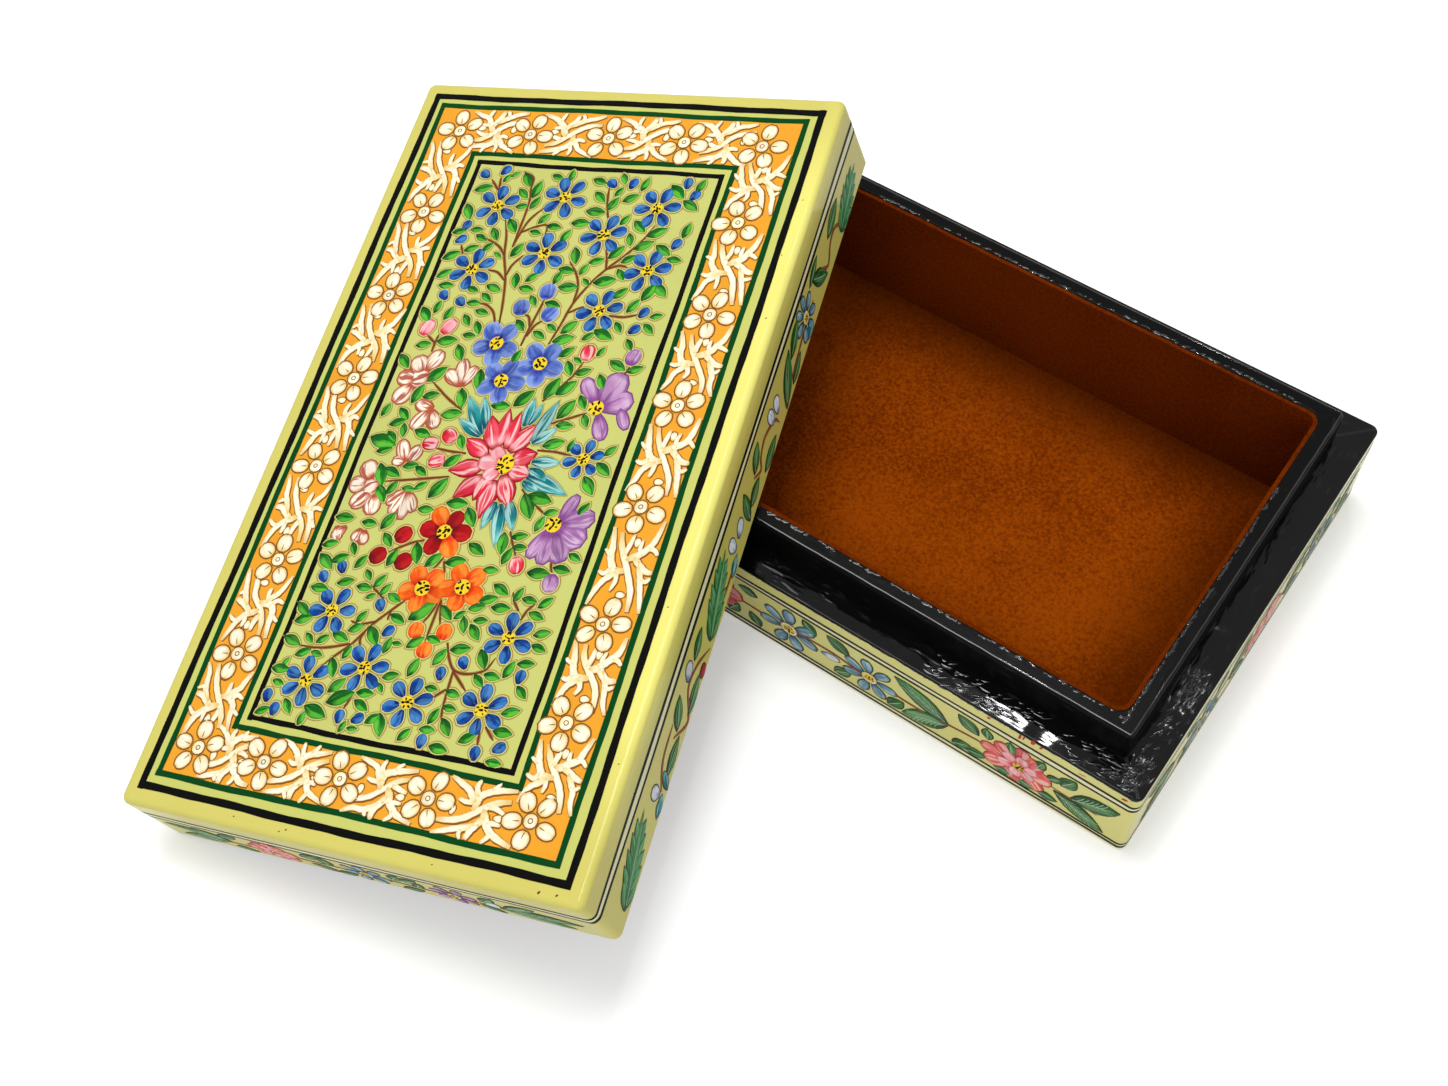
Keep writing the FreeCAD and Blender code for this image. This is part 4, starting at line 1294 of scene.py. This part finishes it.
# Vines of the base: large leaves by start, end and width, small ones by place, turn and length, flowers
# by place, size and turn, and buds by place and turn
base_vine = {
    "stem": [(-82, 10.6), (-72, 9.6), (-60, 11.4), (-48, 10.0), (-36, 11.2), (-24, 9.8), (-8, 10.6),
             (5, 10.2), (12, 11.0), (20, 11.2), (27, 10.0), (40, 9.3), (48, 10.4), (56, 11.2), (70, 10.4),
             (81, 9.7)],
    "blue": [(8.7, 10.5, 1.0, 88), (28.5, 10.2, 0.9, 96), (-64, 10.6, 0.95, 80), (-44, 10.4, 0.9, 100)],
    "rose": [(63.5, 10.4, 1.0), (-10, 10.8, 0.95), (-78, 10.2, 0.8)],
    "large": [(47, 10.6, 34.4, 17.2, 5.6), (47, 9.8, 36.8, 4.0, 5.4), (75.2, 10.2, 85.0, 15.8, 5.4),
              (71.6, 9.4, 83.0, 4.0, 5.0), (-33, 11.2, -22, 17.2, 5.4), (-33, 10.0, -22, 4.2, 5.2),
              (-55, 11.2, -66, 17.0, 5.0), (-55, 9.8, -66, 4.2, 5.0)],
    "small": [(-1.5, 16.2, 170, 4.2), (-5.5, 6.0, 60, 4.6), (0, 5.2, 120, 4.4), (13.8, 16.2, -50, 4.4),
              (20.8, 15.8, 150, 5.6), (22, 5.3, 40, 4.6), (35, 4.8, 50, 5.0), (51.6, 15.4, 140, 5.6),
              (55.8, 16.4, 100, 3.6), (50.6, 5.4, 35, 4.4), (54, 5.2, 20, 4.6), (60.6, 5.0, 10, 4.0),
              (65.6, 5.0, -5, 4.0), (70.4, 5.2, 5, 4.0), (61.2, 16.2, 100, 4.0), (67.6, 16.8, 70, 3.8),
              (74, 15.6, 60, 5.0), (71, 14.0, 40, 3.4), (-16, 16.4, 30, 4.6), (-17, 4.6, -40, 4.6),
              (-50, 16.2, -40, 4.4), (-38, 4.4, 40, 4.4), (-72, 16.4, 120, 4.4), (-71, 4.2, 60, 4.4),
              (-84, 15.6, 70, 4.2), (-84, 5.0, 110, 4.2)],
    "bud": [(19, 9.2, 10), (-24, 9.4, 170)],
}
short_vine = {
    "stem": [(-44, 9.6), (-32, 11.2), (-20, 9.8), (-6, 11.0), (8, 10.0), (20, 11.0), (32, 9.8),
             (44, 10.4)],
    "blue": [(-22, 10.4, 0.95, 84), (30, 10.2, 0.9, 100)],
    "rose": [(5, 10.5, 0.95)],
    "large": [(-33, 10.6, -45, 16.4, 5.0), (-33, 9.8, -45, 4.6, 4.8), (-10, 11, -3, 17.2, 4.2),
              (-10, 10, -2, 4.2, 4.2), (14, 11, 22, 17.0, 4.4), (14, 10, 22, 4.2, 4.4),
              (38, 10.6, 46, 16.0, 4.4), (38, 9.8, 46, 4.6, 4.4)],
    "small": [(-28, 16.4, 140, 4.4), (-15, 16.2, 40, 4.4), (-28, 4.2, 50, 4.4), (-15, 4.6, 130, 4.4),
              (25, 16.6, 50, 4.2), (35, 16.2, 130, 4.2), (26, 4.0, 120, 4.2), (36, 4.0, 40, 4.2)],
    "bud": [(-38, 12.0, 160), (20, 6.4, -30)],
}

# Vines of the lid, in the same way: lobed leaves as the large ones, and small leaves with a width too
lid_long_vine = {
    "stem": [[(-60, 3), (-55, 6.5), (-48, 7.2)], [(-50, 5), (-45, 1), (-40, 5.5), (-35, 4.8), (-30, 1.5)],
             [(-26, 4), (-18, 2.4), (-10, 2.8)], [(5, 6), (8, 4), (10, 6), (14, 7), (19, 5), (20, 2.5)],
             [(24, 2), (32, 3.4), (40, 4.4), (48, 5)],
             [(55, 6), (58, 3), (62, 5.5), (66, 5.5), (69.5, 2)]],
    "lobed": [(-83, 2.6, -65, 8.0, 7.0), (-29, 2.6, -12, 8.8, 7.0), (67, 2.2, 82, 6.2, 6.8)],
    "leaf": [(-53, 2.8, 0, 8.4, 3.0), (-45.5, 6.4, 32, 6.8, 3.6), (-40, 2.2, 4, 8.4, 2.8),
             (-31.6, 7.4, 12, 6.4, 2.8), (-1, 5, 72, 7, 3.4), (3.2, 3.6, 4, 6.6, 3.0),
             (8.5, 8, 30, 6.4, 3.2), (13, 2, 2, 8.4, 2.8), (28.6, 5, 42, 12, 4.4),
             (36.6, 8, 22, 8.4, 3.4), (33, 2.4, 10, 7, 2.6), (53.5, 5.2, -46, 8.6, 3.8),
             (52, 9.2, 12, 7, 2.2), (66, 8.4, 12, 9, 3.4)],
    "bud": [(-61, 5.2, 100), (-37.4, 7.6, 24), (-10, 5.8, 100), (-5.6, 5.2, 24), (18.4, 7, 90),
            (21.8, 6.4, 64)],
    "teal": [(-62.5, 1.8, 8), (-57.6, 2.6, 62), (-12.6, 2.2, 14), (42.6, 1.8, 6)],
    "bud red": [(-34.7, 1.6)],
    "blue": [(43, 5.8, 0.72, 20)],
}
lid_short_vine = {
    "stem": [[(-36, 4.8), (-28, 5.0), (-14, 5.2), (-4, 5.6), (10, 5.0), (24, 4.6), (32, 4.8)]],
    "large": [(-33, 5.4, -47, 8.8, 4.0), (-34, 4.6, -46, 2.8, 3.6), (-33, 5.6, -40, 9.8, 3.0),
              (29, 5.2, 46, 6.4, 4.2), (28, 4.6, 43, 2.2, 3.4), (29, 5.6, 37, 9.6, 3.0)],
    "leaf": [(-32, 9.0, 24, 5.6, 3.0), (-31, 1.8, -12, 5, 2.6), (-12.4, 9.4, 24, 5.6, 3.0),
             (-9.4, 8.6, 84, 5.6, 3.2), (-12, 1.8, 160, 6.0, 3.0), (-7, 1.6, 20, 5.4, 2.6),
             (6.6, 9.4, 56, 4.8, 2.8), (9.8, 9.0, 34, 5.4, 2.8), (8, 2.0, 20, 5.8, 2.8),
             (11, 6.6, 60, 4.4, 2.4), (26.6, 8.8, 48, 5.6, 3.0), (25.6, 1.8, 150, 5.0, 2.6)],
    "bud": [(26.6, 5.6, 40)],
    "blue": [(-1, 5.8, 0.7, 40)],
    "lilac": [(18.6, 5.8, 0.68, 10)],
    "rose": [(-22, 5.8, 0.7)],
}


# Heights that the small leaves keep within
base_leaf_room = (3.6, 18.2)
lid_leaf_room = (0.6, 10.7)


def paint_base_vine(place, vine):
    """Vine along one side of the base."""
    twig("base", place, vine["stem"], 0.5, "red stem", "ink")
    for leaf in vine["large"]:
        veined_leaf("base", place, *leaf)
    for x, y, angle, length in vine["small"]:
        small_leaf("base", place, x, y, angle, length * 1.1, length * 0.72, *base_leaf_room)
    for x, y, size, turn in vine["blue"]:
        side_bloom("base", place, "side blue", x, y, size, turn)
    for x, y, size in vine["rose"]:
        rose("base", place, x, y, size)
    for x, y, angle in vine["bud"]:
        touch("base", place, "bud white", "petal", x, y, angle, 4.4, 2.2, rim=0.2, **inked)


def paint_lid_vine(place, vine):
    """Vine along one side of the lid."""
    for points in vine["stem"]:
        twig("lid", place, points, 0.5, "red stem", "ink")
    for leaf in vine.get("lobed", ()):
        lobed_leaf("lid", place, *leaf)
    for leaf in vine.get("large", ()):
        veined_leaf("lid", place, *leaf)
    for leaf in vine["leaf"]:
        small_leaf("lid", place, *leaf, *lid_leaf_room)
    for x, y, angle in vine.get("teal", ()):
        touch("lid", place, "teal", "leaf", x, y, angle, 4.6, 2.4, rim=0.18, **inked)
    for x, y, size, turn in vine["blue"]:
        side_bloom("lid", place, "side blue", x, y, size, turn)
    for x, y, size, turn in vine.get("lilac", ()):
        side_bloom("lid", place, "lilac", x, y, size, turn)
    for x, y, size in vine.get("rose", ()):
        rose("lid", place, x, y, size)
    for x, y, angle in vine["bud"]:
        touch("lid", place, "bud white", "petal", x, y, angle, 3.8, 2.9, rim=0.24, **inked)
    for x, y in vine.get("bud red", ()):
        touch("lid", place, "red", "round", x, y, 0, 3.0, 2.2, rim=0.18, **inked)


def rule_sides(body, matrix, size, lines, width, strips):
    """Dark lines round the four sides, with pale strips between them."""
    for height in lines:
        coat(body, "dark green").hoop(matrix, size, height, width, 0.015, 0.035)
    for height, breadth in strips:
        coat(body, "cream strip").hoop(matrix, size, height, breadth, 0.01, 0.004)


base_sides = {"front": base_vine, "back": base_vine, "right": short_vine, "left": short_vine}
for side, vine in base_sides.items():
    paint_base_vine(face(base_matrix, base_size, side), vine)
rule_sides("base", base_matrix, base_size, (20.7, 19.0, 2.9, 1.5), 0.8, ((19.85, 1.4), (2.2, 1.0)))

lid_sides = {"front": lid_long_vine, "back": lid_long_vine, "left": lid_short_vine, "right": lid_short_vine}
for side, vine in lid_sides.items():
    paint_lid_vine(face(lid_matrix, lid_size, side), vine)
rule_sides("lid", lid_matrix, lid_size, (13.6, 11.5), 0.95, ((12.55, 1.7),))

# Red flecks of an earlier touch, under the ledge: x, y, turn, length and width
red_flecks = [
    (55.5, 23.1, 60, 1.0, 0.7), (62.4, 22.9, 85, 2.0, 0.6), (63.2, 23.2, 80, 1.6, 0.4),
    (65.2, 23.7, 80, 2.0, 0.9), (67.0, 23.4, 70, 1.4, 0.5), (85.0, 22.6, 30, 1.4, 0.8),
    (76.0, 22.4, 10, 1.6, 0.3),
]
front = face(base_matrix, base_size, "front")
for fleck in red_flecks:
    coat("base", "speck red").stamp(front, "round", *fleck, 0.02, 0.02)

# Small dark chips in the border of the lid: x, y and size
border_chips = [
    (42.1, -86.4, 0.6), (45.6, -86.2, 0.5), (-13.3, -86.6, 0.35), (-12.0, -86.0, 0.4), (-24.1, -85.8, 0.35),
    (49.0, -61.0, 0.3), (48.6, -30.0, 0.3), (49.2, 33.5, 0.35), (48.8, 62.0, 0.3), (20.0, -86.0, 0.3),
]
for x, y, size in border_chips:
    coat("lid", "stem").stamp(bare_top, "dot", x, y, 90 * size, 1.4 * size, 0.8 * size, 0.0, 0.012)


def lacquer_ridges(height, low, high, along, count, size, crowd):
    """Brush ridges and drops in the thick lacquer of one field, crowded toward its high corner."""
    place = Matrix.Diagonal((mm, mm, mm, 1)) @ Matrix.Translation((0, 0, height))
    for number in range(count):
        x = high[0] - (high[0] - low[0]) * hand.random() ** crowd
        y = high[1] - (high[1] - low[1]) * hand.random() ** crowd
        length = size * hand.uniform(0.7, 2.0)
        width = size * hand.uniform(0.28, 0.6)
        angle = along + hand.uniform(-24, 24)
        rise = size * hand.uniform(0.012, 0.07)
        coat("base", "wet lacquer").stamp(place, "leaf", x, y, angle, length, width, 0.0, rise)


# Fields of ridges: height, low and high corner, direction, number, size and crowding
ridge_fields = [
    (ledge, (40, -45.0), (86, -50.4), 20, 110, 1.3, 1.0),
    (ledge, (86.4, -20), (83.0, -49.6), 70, 70, 1.1, 1.6),
    (lip_top, (-30, -41.1), (78, -41.5), 8, 130, 0.9, 1.0),
    (lip_top, (78.5, 20), (78.1, -42), 84, 120, 0.9, 1.3),
    (lip_top, (-30, 41.1), (72, 41.5), 10, 130, 0.9, 1.0),
]
for field in ridge_fields:
    lacquer_ridges(*field)

# Ridge of lacquer along the outer edges of the lip
lip_corners = [(-80.6, -43.6), (80.6, -43.6), (80.6, 43.6), (-80.6, 43.6)]
lip_edge = Matrix.Diagonal((mm, mm, mm, 1)) @ Matrix.Translation((0, 0, lip_top - 0.1))
for number, start in enumerate(lip_corners):
    line = []
    for point in smooth([start, lip_corners[(number + 1) % 4]], 60):
        line.append(point + np.array((hand.uniform(-0.05, 0.05), hand.uniform(-0.05, 0.05))))
    coat("base", "wet lacquer").stroke(lip_edge, line, 0.5, 0.0, 0.14)

for (body, finish), gathered in coats.items():
    gathered.make(body + "_" + finish.replace(" ", "_"), finish, body)


# Velvet lining

def settle(piece, body, surfaces, matrix):
    """Gives modelled velvet its finishes and puts it in place on its body."""
    piece.data.transform(matrix @ Matrix.Diagonal((mm, mm, mm, 1)))
    for name in surfaces:
        piece.data.materials.append(finishes[name])
    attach(piece, body)


def velvet_sheet(name, length, width, low, thickness, round_off):
    """Sheet of velvet with rounded corners, lying a little uneven."""
    bpy.ops.object.select_all(action="DESELECT")
    bpy.ops.mesh.primitive_grid_add(x_subdivisions=72, y_subdivisions=40, size=1, location=(0, 0, 0))
    piece = bpy.context.object
    piece.name = name
    piece.data.name = name
    bpy.ops.object.mode_set(mode="EDIT")
    bpy.ops.mesh.select_all(action="SELECT")
    bpy.ops.transform.resize(value=(length, width, 1))
    bpy.ops.transform.translate(value=(0, 0, low + thickness))
    bpy.ops.object.mode_set(mode="OBJECT")
    inner_x = length / 2 - round_off
    inner_y = width / 2 - round_off
    for vertex in piece.data.vertices:
        over = Vector((max(abs(vertex.co.x) - inner_x, 0), max(abs(vertex.co.y) - inner_y, 0)))
        if round_off and over.length > round_off:
            over = over.normalized() * round_off
            vertex.co.x = math.copysign(inner_x + over.x, vertex.co.x)
            vertex.co.y = math.copysign(inner_y + over.y, vertex.co.y)
        wave = math.sin(vertex.co.x * 0.21 + 1.3) * math.sin(vertex.co.y * 0.17 + 0.4)
        vertex.co.z += 0.07 * wave + 0.04 * math.sin(vertex.co.x * 0.5 + vertex.co.y * 0.37)
    solid = piece.modifiers.new("thickness", "SOLIDIFY")
    solid.thickness = thickness - 0.12
    solid.offset = -1
    bpy.ops.object.modifier_apply(modifier=solid.name)
    bpy.ops.object.shade_smooth_by_angle(angle=math.radians(40))
    return piece


def velvet_walls(name, length, width, low, high, thickness, round_off):
    """Velvet on the walls of the compartment: one strip round it, with a raw cut edge on top."""
    bpy.ops.object.select_all(action="DESELECT")
    bpy.ops.mesh.primitive_plane_add(size=1, location=(0, 0, 0))
    piece = bpy.context.object
    piece.name = name
    piece.data.name = name
    bpy.ops.object.mode_set(mode="EDIT")
    bpy.ops.mesh.select_all(action="SELECT")
    bpy.ops.transform.resize(value=(length, width, 1))
    bpy.ops.transform.translate(value=(0, 0, low))
    bpy.ops.mesh.bevel(offset=round_off, segments=6, affect="VERTICES")
    bpy.ops.mesh.select_all(action="SELECT")
    bpy.ops.mesh.delete(type="ONLY_FACE")
    bpy.ops.mesh.select_mode(type="EDGE")
    edit = bmesh.from_edit_mesh(piece.data)
    for edge in edit.edges:
        edge.select = edge.calc_length() > 20
    bmesh.update_edit_mesh(piece.data)
    bpy.ops.mesh.subdivide(number_cuts=36)
    bpy.ops.mesh.select_all(action="SELECT")
    bpy.ops.mesh.extrude_edges_move(TRANSFORM_OT_translate={"value": (0, 0, high - low)})
    bpy.ops.mesh.select_all(action="SELECT")
    bpy.ops.mesh.normals_make_consistent(inside=True)
    bpy.ops.object.mode_set(mode="OBJECT")
    for vertex in piece.data.vertices:
        if vertex.co.z > (low + high) / 2:
            way = vertex.co.x * 0.6 + vertex.co.y * 0.8
            vertex.co.z += 0.08 * math.sin(way * 0.9) + 0.05 * math.sin(way * 2.3 + 1)
    solid = piece.modifiers.new("thickness", "SOLIDIFY")
    solid.thickness = thickness
    solid.offset = 1
    solid.material_offset_rim = 1
    bpy.ops.object.modifier_apply(modifier=solid.name)
    bpy.ops.object.shade_smooth_by_angle(angle=math.radians(40))
    return piece


floor_velvet = velvet_sheet("velvet_floor", lining_length - velvet_gap, lining_width - velvet_gap, floor_low,
                            wall_low - floor_low, opening_round)
settle(floor_velvet, "base", ("floor velvet",), base_matrix)
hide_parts("lining_floor")

wall_velvet = velvet_walls("velvet_walls", lining_length, lining_width, wall_low, wall_high,
                           wall_velvet_thickness, opening_round)
# The walls take the darker copy of the velvet, with painted shade
settle(wall_velvet, "base", ("shaded wall velvet", "raw edge"), base_matrix)
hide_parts("lining_front", "lining_back", "lining_left", "lining_right")

lid_inside = [size - 2 * lid_board for size in lid_size[:2]]
lid_velvet = velvet_sheet("velvet_lid", lid_inside[0] - velvet_gap, lid_inside[1] - velvet_gap,
                          lid_size[2] - lid_lining_depth, lid_velvet_thickness, 0.0)
settle(lid_velvet, "lid", ("velvet",), lid_matrix)
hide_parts("lid_lining")


# Finishes of the boards

for name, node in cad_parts.items():
    if node.hide_render:
        continue
    if name.startswith("lid_"):
        finish = "lid coat"
    elif name.endswith("_wall"):
        finish = "base coat"
    else:
        finish = "black lacquer"
    node.data.materials.clear()
    node.data.materials.append(finishes[finish])


# Floor, light and camera

# Lamps: name, shape, place and size in metres, and power in watts
lamps = [
    ("softbox", "SQUARE", (-0.18, 0.03, 1.0), 0.45, 5.2),
    ("front_fill", "SQUARE", (0.35, -0.9, 0.45), 0.6, 2.8),
    ("bare_lamp", "DISK", (-0.1, 0.37, 0.92), 0.034, 0.5),
    ("corner_lamp", "DISK", (0.01, 0.43, 0.91), 0.011, 0.04),
]

# Camera, fitted to the photograph: width and focal length in pixels, place in mm, line of sight, right
photo_width = 1448
focal_length = 1793.7
sensor_width = 36.0
camera_place = (113.478, -193.783, 337.177)
camera_sight = (-0.33484, 0.39761, -0.85428)
camera_right = (0.81144, 0.58255, -0.04691)


def looked_at(tree):
    """One for what the camera sees, straight or in gloss, and nought for the light thrown on the box."""
    path = tree.nodes.new("ShaderNodeLightPath").outputs
    mirrored = reckon(tree, "MAXIMUM", path["Is Glossy Ray"], path["Is Transmission Ray"])
    return reckon(tree, "MAXIMUM", path["Is Camera Ray"], mirrored)


def pale_floor():
    """White table: paler to the camera than to the light it throws back."""
    bpy.ops.object.select_all(action="DESELECT")
    bpy.ops.mesh.primitive_plane_add(size=8, location=(0, 0, -0.0001))
    floor = bpy.context.object
    floor.name = "floor"
    material = bpy.data.materials.new("pale floor")
    material.use_nodes = True
    tree = material.node_tree
    shader = tree.nodes["Principled BSDF"].inputs
    seen = looked_at(tree)
    feed(tree, mix(tree, seen, (0.5, 0.5, 0.5, 1.0), (0.9, 0.9, 0.9, 1.0)), shader["Base Color"])
    shader["Roughness"].default_value = 0.9
    shader["Specular IOR Level"].default_value = 0.0
    shader["Emission Color"].default_value = (1.0, 1.0, 1.0, 1.0)
    feed(tree, reckon(tree, "MULTIPLY", seen, 0.32), shader["Emission Strength"])
    floor.data.materials.append(material)


def studio_light():
    """Even light all round, a softbox overhead, a weak fill in front and two bare lamps for glints."""
    world = bpy.data.worlds.new("studio")
    bpy.context.scene.world = world
    world.use_nodes = True
    tree = world.node_tree
    background = tree.nodes["Background"]
    background.inputs["Color"].default_value = (1.0, 1.0, 1.0, 1.0)
    feed(tree, step(tree, looked_at(tree), 0.0, 1.0, 0.45, 1.0), background.inputs["Strength"])
    for name, shape, place, size, power in lamps:
        lamp = bpy.data.lights.new(name, "AREA")
        lamp.shape = shape
        lamp.size = size
        lamp.energy = power
        holder = bpy.data.objects.new(name, lamp)
        bpy.context.collection.objects.link(holder)
        holder.location = place
        holder.rotation_euler = (-Vector(place)).to_track_quat("-Z", "Y").to_euler()


def photo_camera():
    """Camera of the photograph."""
    camera = bpy.data.cameras.new("camera")
    camera.sensor_width = sensor_width
    camera.lens = sensor_width * focal_length / photo_width
    camera.clip_start = 0.01
    holder = bpy.data.objects.new("camera", camera)
    bpy.context.collection.objects.link(holder)
    forward = Vector(camera_sight).normalized()
    right = Vector(camera_right)
    right = (right - forward * right.dot(forward)).normalized()
    place = Matrix((right, right.cross(forward), -forward)).transposed().to_4x4()
    place.translation = Vector(camera_place) * mm
    holder.matrix_world = place
    bpy.context.scene.camera = holder


pale_floor()
studio_light()
photo_camera()
